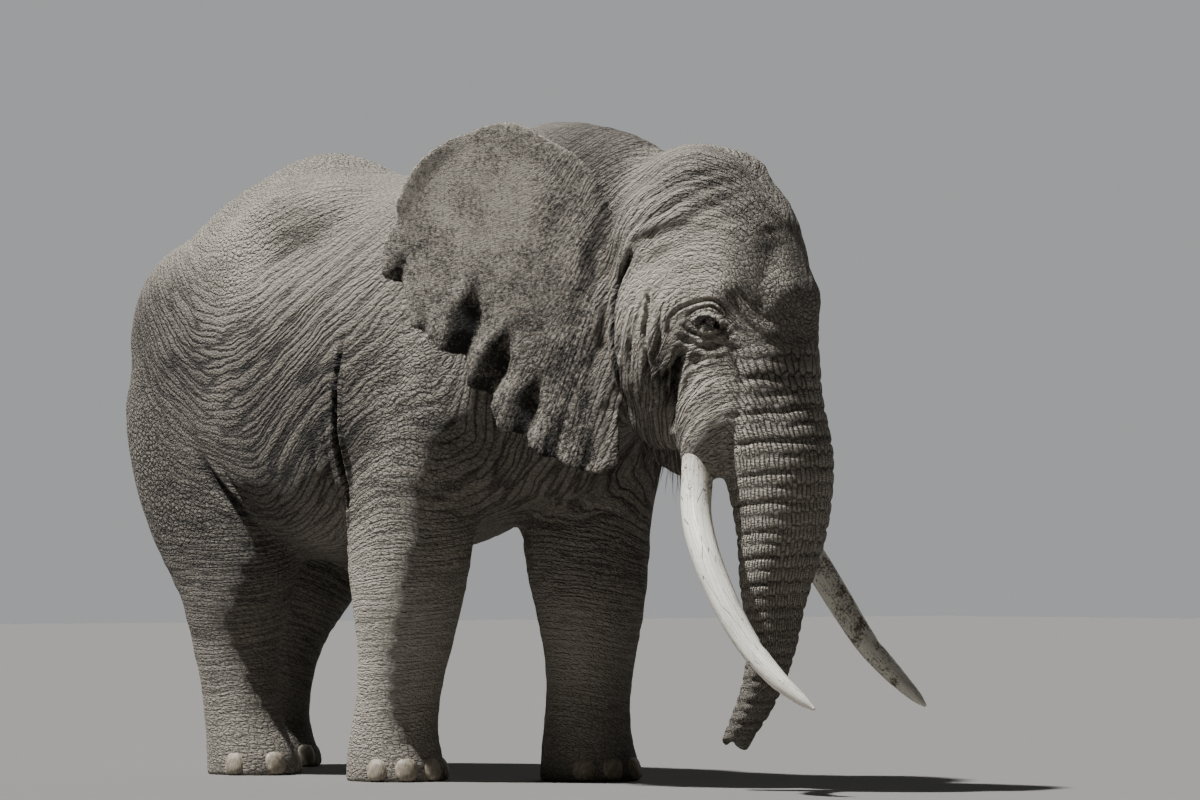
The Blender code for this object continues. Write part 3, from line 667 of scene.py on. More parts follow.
# In the head's frame: ahead of the eyes and above them.
HEAD_LIE = (
    (-0.45, 0.60, 70, 0.034, 0.4, 0.9),
    (-0.25, 0.74, 35, 0.032, 0.4, 0.8),
    (-0.05, 0.74, 0, 0.032, 0.4, 0.8),
    (0.15, 0.56, -48, 0.032, 0.4, 0.8),
    (0.27, 0.30, -76, 0.034, 0.6, 0.6),
    (0.33, 0.05, -70, 0.036, 0.8, 0.7),
    (-0.25, 0.45, 50, 0.034, 0.2, 1.2),
    (-0.02, 0.45, 5, 0.030, 0.5, 0.5),
    (-0.55, 0.25, 84, 0.034, 0.3, 1.3),
    (-0.30, 0.22, 60, 0.026, 0.8, 0.4),
    (-0.45, -0.05, 92, 0.034, 0.12, 1.5),
    (-0.25, 0.00, 84, 0.032, 0.2, 1.3),
    (-0.05, 0.14, 10, 0.026, 0.7, 0.45),
    (-0.02, -0.14, 12, 0.030, 0.3, 1.3),
    (0.14, 0.05, -70, 0.030, 0.4, 1.2),
    (0.10, -0.17, 36, 0.032, 0.25, 1.4),
    (-0.42, -0.32, 96, 0.034, 0.25, 1.5),
    (-0.28, -0.30, 82, 0.034, 0.2, 1.5),
    (-0.05, -0.32, 58, 0.034, 0.12, 1.5),
    (-0.12, -0.50, 74, 0.034, 0.15, 1.5),
    (0.05, -0.50, 50, 0.034, 0.2, 1.5),
    (0.22, -0.22, 6, 0.040, 1.0, 1.0),
    (0.33, -0.40, 2, 0.042, 1.0, 1.0),
    (0.20, -0.62, 8, 0.042, 0.9, 1.0),
    (0.30, -0.90, 4, 0.042, 0.9, 1.0),
    (0.20, -1.20, 4, 0.036, 0.8, 1.0),
    (0.18, -1.60, 4, 0.030, 0.8, 0.9),
    (0.00, -2.05, 10, 0.026, 0.7, 0.8),
)
# In an ear's own frame: forwards from its root line, and the height.
EAR_LIE = (
    (-0.05, 3.00, 60, 0.034, 0.3, 0.5),
    (-0.45, 3.20, 15, 0.024, 0.9, 0.05),
    (-0.95, 2.95, 10, 0.024, 0.9, 0.06),
    (-0.50, 2.80, 35, 0.026, 0.9, 0.04),
    (-1.05, 2.60, 30, 0.026, 0.7, 0.15),
    (0.02, 2.60, 92, 0.034, 0.2, 0.9),
    (-0.14, 2.60, 86, 0.030, 0.4, 0.30),
    (-0.30, 2.50, 75, 0.026, 0.8, 0.06),
    (-0.60, 2.40, 48, 0.026, 0.7, 0.16),
    (0.03, 2.10, 92, 0.034, 0.2, 0.9),
    (-0.14, 2.10, 88, 0.030, 0.3, 0.6),
    (-0.35, 2.00, 70, 0.028, 0.5, 0.35),
    (-0.55, 2.10, 62, 0.026, 0.4, 0.35),
    (0.00, 1.75, 88, 0.030, 0.3, 0.7),
    (-0.25, 1.72, 80, 0.028, 0.4, 0.5),
)


def lie_at(table, ahead, above, reach):
    """The rows of a table of creases blended at each place by nearness: the way they run as a
    cosine and a sine, their gap, cross strength and depth."""
    table = np.array(table)
    angle = np.radians(table[:, 2])
    values = np.column_stack([np.cos(angle), np.sin(angle), table[:, 3:]])
    far = (ahead[:, None] - table[:, 0]) ** 2 + (above[:, None] - table[:, 1]) ** 2
    weight = 1 / (far + reach**2) ** 2
    found = weight @ values / weight.sum(axis=1, keepdims=True)
    found[:, :2] = unit(found[:, :2])
    found[:, 2] *= CREASE_GAP
    return found


def tangents(normals, upwards, side):
    """Forwards and upwards along the skin, for a body whose upward direction is given."""
    rise = unit(upwards - (upwards * normals).sum(1, keepdims=True) * normals)
    return side[:, None] * np.cross(rise, normals), rise


def nearest_values(edges, steps, start, times):
    """The values whose differences along the edges come nearest to these steps, by conjugate
    gradients from a first guess."""
    ahead, behind = edges[:, 1], edges[:, 0]
    values = start.copy()
    left = steps - (values[ahead] - values[behind])
    rest = np.bincount(ahead, left, len(start)) - np.bincount(behind, left, len(start))
    way, size = rest.copy(), rest @ rest
    for _ in range(times):
        change = way[ahead] - way[behind]
        pull = np.bincount(ahead, change, len(start)) - np.bincount(behind, change, len(start))
        step = size / max(way @ pull, 1e-30)
        values += step * way
        rest -= step * pull
        size, before = rest @ rest, size
        way = rest + size / before * way
    return values


def ear_place(points, name):
    """Places on an ear: how far back from its root line, how far out of its plane, the height, and
    how near the margin, from 0 in its middle to 1."""
    root, axes = ear_frame(name)
    flat = (points - root) @ np.linalg.inv(axes)
    across, out, height = flat[:, 0], flat[:, 1], flat[:, 2] + EAR_LEVEL
    margin = smooth_rows(EAR, 400, closed=True) - EAR_MIDDLE
    turn = np.arctan2(margin[:, 1], margin[:, 0])
    order = np.argsort(turn)
    at = np.arctan2(height - EAR_MIDDLE[1], across - EAR_MIDDLE[0])
    reach = np.interp(at, turn[order], np.hypot(*margin[order].T), period=2 * math.pi)
    radius = np.hypot(height - EAR_MIDDLE[1], across - EAR_MIDDLE[0]) / reach
    return across, out, height, radius


def ear_share(points, name):
    """1 on an ear and 0 off it, with the place there."""
    across, out, height, radius = ear_place(points, name)
    relief = ear_relief(across, height, np.clip(radius, 0, 1))
    near = smoothstep(0.13, 0.07, np.abs(out - relief)) * smoothstep(1.12, 1.06, radius)
    return near * smoothstep(-0.02, 0.06, across), across, height, radius


def on_ears(points):
    """1 on either ear and 0 off them."""
    return np.maximum(ear_share(points, "right")[0], ear_share(points, "left")[0])


def head_share(points):
    """1 on the head and trunk and 0 behind them."""
    return smoothstep(-0.66, -0.50, to_head(points)[:, 0]) * smoothstep(0.55, 0.85, points[:, 0])


def ahead_of_leg(points):
    """For each point, its distance ahead of the middle of the nearest leg."""
    found = []
    z = points[:, 2]
    for name, (_, sole_y, _) in STANCE.items():
        table = np.array(LEGS[name[:4]])[::-1]
        middle = leg_line(name, z) + np.interp(z, table[:, 0], table[:, 1])
        ahead = points[:, 0] - middle
        found.append((ahead, np.hypot(ahead, points[:, 1] - sole_y)))
    ahead, far = np.array([f[0] for f in found]), np.array([f[1] for f in found])
    return ahead[far.argmin(axis=0), np.arange(len(points))]


def side_and_up(at, normals):
    """Which side of the middle each place is on, and a way up that leans outwards on the back."""
    side = np.where(at[:, 1] > 0, 1.0, -1.0)
    up = np.stack([0 * side, -side * 0.6 * normals[:, 2], 1 + 0 * side], 1)
    return side, up


def counted(lie, ahead, rise):
    """The vector along which creases are counted: across the way they run, one for each gap."""
    return unit(-lie[:, 1:2] * ahead + lie[:, :1] * rise) / lie[:, 2:3]


def crease_targets(points, normals):
    """At each point, the vector along which the creases are counted, and how strong the creases
    across them are and how deep they are: blended from the tables of the body, legs, head and ears."""
    side, up = side_and_up(points, normals)
    ahead, rise = tangents(normals, up, -side)
    body = lie_at(BODY_LIE, points[:, 0], points[:, 2], 0.20)
    leg = lie_at(LEG_LIE, ahead_of_leg(points), points[:, 2], 0.20)
    low = smoothstep(1.40, 1.12, points[:, 2])[:, None]
    lie = body * (1 - low) + leg * low
    count = counted(lie, ahead, rise)

    at = to_head(points)
    side, up = side_and_up(at, normals)
    ahead, rise = tangents(normals, up @ TURN.T, -side)
    head = lie_at(HEAD_LIE, at[:, 0], at[:, 2], 0.10)
    in_head = head_share(points)[:, None]
    count = count * (1 - in_head) + in_head * counted(head, ahead, rise)
    lie = lie * (1 - in_head) + head * in_head

    for name in EARS:
        share, across, height, _ = ear_share(points, name)
        share = share[:, None]
        _, axes = ear_frame(name)
        flat = lie_at(EAR_LIE, -across, height, 0.12)
        way = unit(flat[:, 1:2] * unit(axes[0]) + flat[:, :1] * unit(axes[2]))
        way = unit(way - (way * normals).sum(1, keepdims=True) * normals) / flat[:, 2:3]
        count = count * (1 - share) + way * share
        lie = lie * (1 - share) + flat * share
    return count, lie[:, 3], lie[:, 4]


def crease_count(points, edges, target):
    """The number of creases crossed on the way to each point: the values whose steps from point to
    point come nearest to the targets, first on coarse grids of blocks and then on every point."""
    mean = 0.5 * (target[edges[:, 0]] + target[edges[:, 1]])
    steps = (mean * (points[edges[:, 1]] - points[edges[:, 0]])).sum(1)
    values = np.zeros(len(points))
    for size in (0.30, 0.10, 0.04):
        cell = np.floor(points / size).astype(np.int64)
        _, block = np.unique((cell[:, 0] * 4096 + cell[:, 1]) * 4096 + cell[:, 2], return_inverse=True)
        block = block.ravel()
        ends = block[edges]
        apart = ends[:, 0] != ends[:, 1]
        left = steps - (values[edges[:, 1]] - values[edges[:, 0]])
        shift = nearest_values(ends[apart], left[apart], np.zeros(block.max() + 1), 300)
        values = values + shift[block]
    return nearest_values(edges, steps, values, 400)


def trunk_grid(points):
    """The trunk's rings and the bars between them: bars counted from the front line of the trunk,
    half rings counted downwards, and 1 where they show."""
    at = to_head(points)
    table = np.array(HEAD)[::-1]
    middle = np.interp(at[:, 2], table[:, 0], (table[:, 1] + table[:, 2]) / 2)
    turn = np.arctan2(np.abs(at[:, 1]), at[:, 0] - middle)
    # Half a ring is 83 mm high at the trunk's root, and 21 mm less with each metre down.
    level = at[:, 2] - 0.09 * (at[:, 0] - 0.3)
    rings = -np.log(np.clip(0.083 + 0.021 * (level + 0.3), 0.03, 1) / 0.083) / 0.021
    wander = 0.05 * noise(points, 0.07, 17)
    ahead, above = at[:, 0] + wander, at[:, 2] + wander
    shown = np.maximum(smoothstep(0.04, 0.20, ahead), smoothstep(-0.74, -0.90, above))
    shown = shown * smoothstep(0.0, -0.26, above) * smoothstep(0.5, 0.7, points[:, 0])
    return turn * TRUNK_BARS / math.pi, rings, shown


# The groove before an ear's root, in the head's frame.
EAR_GROOVE = (
    (-0.42, 0.31), (-0.50, 0.21), (-0.535, 0.08), (-0.525, -0.06), (-0.505, -0.20), (-0.50, -0.38)
)
# Folds drawn on the skin as seen from the side. Each: its frame, its path, its width, its depth
# (less than nothing for a ridge), and how high the lips beside it stand as a share of its depth.
FOLDS = (
    ("body", ((-0.52, 2.34), (-0.545, 2.12), (-0.555, 1.70), (-0.55, 1.48), (-0.58, 1.30), (-0.66, 1.18)),
     0.012, 0.036, 0.4),
    ("body", ((-0.625, 2.02), (-0.635, 1.80), (-0.635, 1.55), (-0.68, 1.34)), 0.012, 0.007, 0.4),
    ("body", ((-0.73, 1.90), (-0.72, 1.70), (-0.74, 1.48)), 0.012, 0.010, 0.4),
    ("body", ((-1.78, 1.78), (-1.66, 1.60), (-1.52, 1.46), (-1.36, 1.26)), 0.035, 0.022, 0.5),
    ("body", ((-1.62, 1.74), (-1.44, 1.52), (-1.26, 1.36)), 0.020, 0.012, 0.5),
    ("body", ((-0.62, 0.97), (-0.45, 0.93), (-0.22, 0.96)), 0.020, 0.006, 0.5),
    ("body", ((-0.64, 0.84), (-0.45, 0.80), (-0.22, 0.85)), 0.018, 0.005, 0.5),
    ("head", ((-0.16, 0.00), (-0.12, 0.045), (-0.06, 0.075), (0.01, 0.088), (0.07, 0.075), (0.125, 0.02)),
     0.008, 0.009, 0.5),
    ("head", ((-0.10, -0.005), (-0.06, 0.035), (0.0, 0.052), (0.05, 0.050), (0.095, 0.02)),
     0.006, 0.013, 0.4),
    ("head", ((-0.11, -0.03), (-0.06, -0.068), (0.01, -0.088), (0.07, -0.080), (0.12, -0.04)),
     0.008, 0.010, 0.5),
    ("head", ((-0.15, -0.07), (-0.08, -0.115), (0.01, -0.135), (0.09, -0.118), (0.16, -0.06)),
     0.010, 0.006, 0.5),
    ("head", ((-0.29, 0.21), (-0.275, 0.09), (-0.285, -0.06), (-0.275, -0.20), (-0.28, -0.33)),
     0.011, 0.020, 0.5),
    ("head", ((-0.36, 0.16), (-0.37, -0.01), (-0.385, -0.15), (-0.40, -0.29)), 0.010, 0.013, 0.5),
    ("head", ((-0.44, 0.20), (-0.455, 0.0), (-0.46, -0.20)), 0.010, 0.010, 0.5),
    ("head", ((-0.215, 0.05), (-0.205, -0.05), (-0.215, -0.17)), 0.011, 0.014, 0.5),
    ("head", EAR_GROOVE, 0.015, 0.030, 0.3),
    ("head", ((-0.43, -0.34), (-0.38, -0.42), (-0.30, -0.455), (-0.19, -0.44)), 0.050, -0.014, 0.0),
    ("head", ((-0.27, -0.35), (-0.20, -0.28), (-0.14, -0.22), (-0.10, -0.15)), 0.014, 0.028, 0.4),
    ("head", ((-0.10, -0.15), (-0.03, -0.145), (0.06, -0.15), (0.13, -0.12)), 0.012, 0.009, 0.5),
    ("head", ((-0.11, -0.17), (-0.14, -0.26), (-0.17, -0.38), (-0.19, -0.52)), 0.020, 0.028, 0.5),
    ("head", ((-0.36, 0.36), (-0.25, 0.42), (-0.12, 0.47), (-0.04, 0.53), (0.10, 0.585)),
     0.026, 0.008, 0.6),
    ("head", ((-0.53, 0.33), (-0.40, 0.44), (-0.27, 0.52), (-0.12, 0.60), (0.05, 0.66)),
     0.018, 0.006, 0.6),
    ("head", ((-0.56, 0.44), (-0.43, 0.56), (-0.28, 0.63), (-0.10, 0.70), (0.02, 0.73)),
     0.018, 0.006, 0.6),
    ("head", ((0.27, 0.40), (0.275, 0.28), (0.275, 0.16), (0.29, 0.02)), 0.036, 0.014, 0.3),
    ("head", ((0.12, 0.42), (0.15, 0.30), (0.14, 0.16)), 0.060, -0.020, 0.0),
    ("head", ((0.13, -0.10), (0.155, -0.24), (0.17, -0.40), (0.13, -0.58), (0.06, -0.76)),
     0.030, 0.008, 0.2),
)
# The edges of the lids, in the head's frame, as ridges round the eyeball.
UPPER_LID = (
    (-0.050, -0.010), (-0.018, 0.006), (0.014, 0.013), (0.044, 0.009), (0.068, -0.006), (0.086, -0.030)
)
LOWER_LID = ((-0.052, -0.018), (-0.036, -0.052), (0.002, -0.074), (0.046, -0.068), (0.084, -0.044))
LID_FOLD = ((-0.105, -0.010), (-0.065, 0.022), (-0.02, 0.036), (0.03, 0.036), (0.075, 0.014))
EYE_SLIT = ((-0.012, -0.010), (0.018, -0.010), (0.044, -0.020), (0.066, -0.040))


def path_distance(at, path):
    """How far each place is from a path through these points."""
    rows = smooth_rows(path, 24)
    best = np.full(len(at), 9.0)
    for start, end in zip(rows[:-1], rows[1:]):
        along = np.clip(((at - start) @ (end - start)) / ((end - start) @ (end - start)), 0, 1)
        best = np.minimum(best, np.linalg.norm(at - start - along[:, None] * (end - start), axis=1))
    return best


def finer_near_eyes(points, faces):
    """The surface with its faces split in four round the eyes, and again closer in."""
    thing = mesh_object("Finer", points, faces)
    shape = bmesh.new()
    shape.from_mesh(thing.data)
    bpy.data.objects.remove(thing)
    eyes = [Vector(from_head(EYE * (1, side, 1))) for side in (-1, 1)]
    for reach in (0.17, 0.10):
        chosen = [edge for edge in shape.edges
                  if min((edge.verts[0].co - middle).length for middle in eyes) < reach]
        bmesh.ops.subdivide_edges(shape, edges=chosen, cuts=1, use_grid_fill=True)
        bmesh.ops.triangulate(shape, faces=[face for face in shape.faces if len(face.verts) > 4])
    mesh = bpy.data.meshes.new("Finer")
    shape.to_mesh(mesh)
    shape.free()
    return arrays(mesh)


def outward_shares(points, normals):
    """How much each point faces out to its side, from 0 to 1: on the body and on the head."""
    at = to_head(points)
    side = np.where(points[:, 1] > 0, 1.0, -1.0)
    head_side = np.where(at[:, 1] > 0, 1.0, -1.0)
    in_head = at[:, 0] > HEAD_START
    off_ear = 1.0 - on_ears(points)
    return {
        "body": smoothstep(0.1, 0.5, normals[:, 1] * side) * ~in_head * off_ear,
        "head": smoothstep(0.05, 0.35, (normals @ TURN)[:, 1] * head_side) * in_head * off_ear,
    }


def fold_push(points, outward):
    """How far out the folds move each point: a bell across each fold's path, with a lip on either
    side of it, that fades towards the ends of the path."""
    flat = {"body": points[:, [0, 2]], "head": to_head(points)[:, [0, 2]]}
    waver = {"head": 0.012 * noise(points, 0.09, 21), "body": 0.016 * noise(points, 0.30, 21)}
    fade_over = {"head": 0.10, "body": 0.30}
    push = np.zeros(len(points))
    for place, path, width, depth, lips in FOLDS:
        low, high = np.min(path, axis=0) - 4 * width, np.max(path, axis=0) + 4 * width
        where = flat[place]
        near = np.flatnonzero((where > low).all(1) & (where < high).all(1) & (outward[place] > 0))
        where = where[near]
        far = path_distance(where + (waver[place][near] * min(1, width / 0.012))[:, None], path)
        ends = np.minimum(*(np.linalg.norm(where - end, axis=1) for end in (path[0], path[-1])))
        fade = smoothstep(0, fade_over[place], ends + 0.02) if lips else 1.0
        shape = -bump_at(far, 0, width) + lips * bump_at(far, 2.0 * width, 1.1 * width)
        push[near] += depth * shape * fade * outward[place][near]
    return push


def lid_push(at):
    """How far out the lids move each point: a heavy upper lid and a slight lower one with a bag
    over it, a slit between them, and a shallow socket round them."""
    flat = at[:, [0, 2]]
    bag = np.hypot(at[:, 0] + 0.004, at[:, 2] + 0.048)
    socket = np.hypot(at[:, 0] - 0.02, at[:, 2] + 0.015)
    return (0.024 * bump_at(path_distance(flat, UPPER_LID), 0, 0.012)
            + 0.008 * bump_at(path_distance(flat, LOWER_LID), 0, 0.008)
            + 0.016 * bump_at(bag, 0, 0.026)
            - 0.026 * bump_at(path_distance(flat, EYE_SLIT), 0, 0.012)
            - 0.005 * bump_at(socket, 0.09, 0.03))


def ring_depth(points):
    """How deep the trunk's furrows are: a deep one at each whole ring and a slight one between."""
    _, rings, shown = trunk_grid(points)
    turn = np.abs(((rings + 0.22 * noise(points, 0.13, 8)) % 2) - 1)
    deep = (0.011 + 0.004 * noise(points, 0.10, 9)) * bump_at(turn, 1, 0.13)
    return shown * (deep + 0.005 * bump_at(turn, 0, 0.13))


def trunk_end(at, normals):
    """How far up the end of the trunk moves: less than nothing at the two fingers, before and
    behind, and more at the two nostrils."""
    tip = smoothstep(-1.98, -2.09, at[:, 2])
    finger = 0.050 * bump_at(np.hypot(at[:, 0] - 0.005, at[:, 1]), 0, 0.040)
    finger += 0.030 * bump_at(np.hypot(at[:, 0] + 0.15, at[:, 1]), 0, 0.045)
    nostril = 0.060 * bump_at(np.hypot(at[:, 0] + 0.075, np.abs(at[:, 1]) - 0.032), 0, 0.022)
    return tip * (nostril * (normals[:, 2] < -0.3) - finger)


def folded(points, faces):
    """The surface with its folds, lids and rings worked in along its normals, and how far out each
    point moved."""
    normals = normals_of(points, faces)
    at = to_head(points)
    outward = outward_shares(points, normals)
    push = fold_push(points, outward)
    # The temple is hollow, and the bridge of the nose stands out.
    temple = np.hypot(at[:, 0] + 0.10, at[:, 2] - 0.42)
    push -= outward["head"] * 0.012 * bump_at(temple, 0, 0.10)
    in_head = at[:, 0] > HEAD_START
    bridge = np.hypot(at[:, 0] - 0.33, at[:, 2] - 0.11)
    push += in_head * 0.022 * bump_at(bridge, 0, 0.10) * ((normals @ TURN)[:, 0] > 0)
    push[in_head] += outward["head"][in_head] * lid_push(at[in_head])
    push -= ring_depth(points)
    moved = points + push[:, None] * normals
    moved[:, 2] += trunk_end(at, normals)
    moved[:, 2] = np.maximum(moved[:, 2], 0)
    return relaxed(moved, edges_of(faces), 1), push


# The skin's own surface.


def flesh():
    """The flesh as one smooth closed surface, cut level with the ground."""
    thing = voxels(mesh_object("Flesh", *joined(flesh_forms())), BASE_VOXEL, "Flesh")
    points, faces = arrays(thing.data)
    bpy.data.objects.remove(thing)
    points = relaxed(points, edges_of(faces), 30)
    thing = mesh_object("Flesh", points, faces)
    shape = bmesh.new()
    shape.from_mesh(thing.data)
    everything = shape.verts[:] + shape.edges[:] + shape.faces[:]
    ground, down = (0, 0, 0), (0, 0, -1)
    bmesh.ops.bisect_plane(shape, geom=everything, plane_co=ground, plane_no=down, clear_outer=True)
    open_edges = [edge for edge in shape.edges if edge.is_boundary]
    bmesh.ops.holes_fill(shape, edges=open_edges, sides=0)
    shape.to_mesh(thing.data)
    shape.free()
    return thing


def skin_surface():
    """Flesh, ears, jaw and tail as one surface of even quads."""
    jaw_points, jaw_faces = capped(tube(JAW, 32, 50))
    forms = [ear_form(name) for name in EARS]
    forms += [(from_head(jaw_points), jaw_faces), capped(tube(TAIL, 24, 90))]
    whole = bmesh.new()
    for thing in [flesh()] + [cleaned(mesh_object("Form", *form)) for form in forms]:
        whole.from_mesh(thing.data)
        bpy.data.objects.remove(thing)
    mesh = bpy.data.meshes.new("Whole")
    whole.to_mesh(mesh)
    whole.free()
    thing = voxels(placed("Whole", mesh), SKIN_VOXEL, "Whole")
    points, faces = arrays(thing.data)
    bpy.data.objects.remove(thing)
    points = relaxed(points, edges_of(faces), 3)
    points[:, 2] = np.maximum(points[:, 2], 0)
    return points, faces


def thinned(points, faces, keep, painted_fold_shade):
    """The skin with fewer triangles, left closer together where keep is high. How deep each point lies in a
    fold, for the painted shade there, is stored before, so that it is thinned with them."""
    thing = mesh_object("Skin", points, faces)
    store(thing.data, "painted_fold_shade", painted_fold_shade)
    group = thing.vertex_groups.new(name="loose")
    levels = np.round(np.clip(1 - keep, 0.01, 1) * 20).astype(int)
    for level in np.unique(levels):
        group.add(np.flatnonzero(levels == level).tolist(), max(float(level) / 20, 0.01), "REPLACE")
    thin = thing.modifiers.new("Thin", "DECIMATE")
    thin.ratio = SKIN_TRIANGLES / (2 * len(faces))
    thin.vertex_group = group.name
    thin.vertex_group_factor = THIN_FACTOR
    thin.use_collapse_triangulate = True
    return evaluated(thing, "Skin")


# Materials.


def linear(hex_colour):
    """A linear RGBA colour from sRGB hex."""
    c = np.array([int(hex_colour[k:k + 2], 16) for k in (1, 3, 5)]) / 255
    c = np.where(c <= 0.04045, c / 12.92, ((c + 0.055) / 1.055) ** 2.4)
    return (*c.tolist(), 1.0)


class Nodes:
    """A material's node tree and its Principled shader. Each method gives a socket."""

    def __init__(self, name):
        self.material = bpy.data.materials.new(name)
        self.material.use_nodes = True
        self.tree = self.material.node_tree
        self.shader = self.tree.nodes["Principled BSDF"]

    def fill(self, sockets, values):
        """Sets or links sockets by name, from values or from other nodes' sockets."""
        for key, value in values.items():
            if isinstance(value, bpy.types.NodeSocket):
                self.tree.links.new(value, sockets[key])
            else:
                sockets[key].default_value = value

    def add(self, kind, inputs=None, output=0, **settings):
        """A node with its settings and inputs."""
        node = self.tree.nodes.new("ShaderNode" + kind)
        for key, value in settings.items():
            setattr(node, key, value)
        self.fill(node.inputs, inputs or {})
        return node.outputs[output]

    def set(self, **values):
        """The shader's own inputs."""
        self.fill(self.shader.inputs, {key.replace("_", " "): value for key, value in values.items()})

    def place(self):
        """Where a point of the piece is, in metres."""
        return self.add("TexCoord", output="Object")

    def field(self, name, output="Fac"):
        """A value stored at the points of the piece, or three of them as its Vector."""
        return self.add("Attribute", output=output, attribute_name=name)

    def maths(self, operation, a, b=0.5, c=0.5):
        return self.add("Math", {0: a, 1: b, 2: c}, operation=operation)

    def stretched(self, vector, by, plus=(0, 0, 0)):
        """A vector times this, axis by axis, and plus another."""
        return self.add("VectorMath", {0: vector, 1: by, 2: plus}, operation="MULTIPLY_ADD")

    def span(self, value, low, high, to_low=0.0, to_high=1.0, kind="SMOOTHSTEP"):
        """A value brought from one range to another, and kept inside it."""
        inputs = {"Value": value, "From Min": low, "From Max": high, "To Min": to_low, "To Max": to_high}
        return self.add("MapRange", inputs, interpolation_type=kind)

    def noise(self, vector, scale, detail, roughness=0.5):
        inputs = {"Vector": vector, "Scale": scale, "Detail": detail, "Roughness": roughness}
        return self.add("TexNoise", inputs)

    def cracks(self, vector, scale=1.0, randomness=1.0, dimensions="3D"):
        """The distance to the nearest border between random cells, which is 0 on the border."""
        inputs = {"Vector": vector, "Scale": scale, "Randomness": randomness}
        return self.add("TexVoronoi", inputs, feature="DISTANCE_TO_EDGE", voronoi_dimensions=dimensions)

    def blend(self, share, a, b):
        """A number between a and b."""
        return self.add("Mix", {0: share, 2: a, 3: b}, data_type="FLOAT")

    def mix(self, share, a, b):
        """A colour between a and b."""
        return self.add("Mix", {0: share, 6: a, 7: b}, output=2, data_type="RGBA")

    def ramp(self, value, stops):
        """Colours blended between stops of place and hex."""
        node = self.tree.nodes.new("ShaderNodeValToRGB")
        self.tree.links.new(value, node.inputs[0])
        elements = node.color_ramp.elements
        elements.remove(elements[1])
        elements[0].position, elements[0].color = stops[0][0], linear(stops[0][1])
        for at, colour in stops[1:]:
            elements.new(at).color = linear(colour)
        return node.outputs[0]

    def bump(self, height):
        """The normal of a relief of this height in metres."""
        return self.add("Bump", {"Height": height, "Distance": 1.0, "Strength": 1.0})


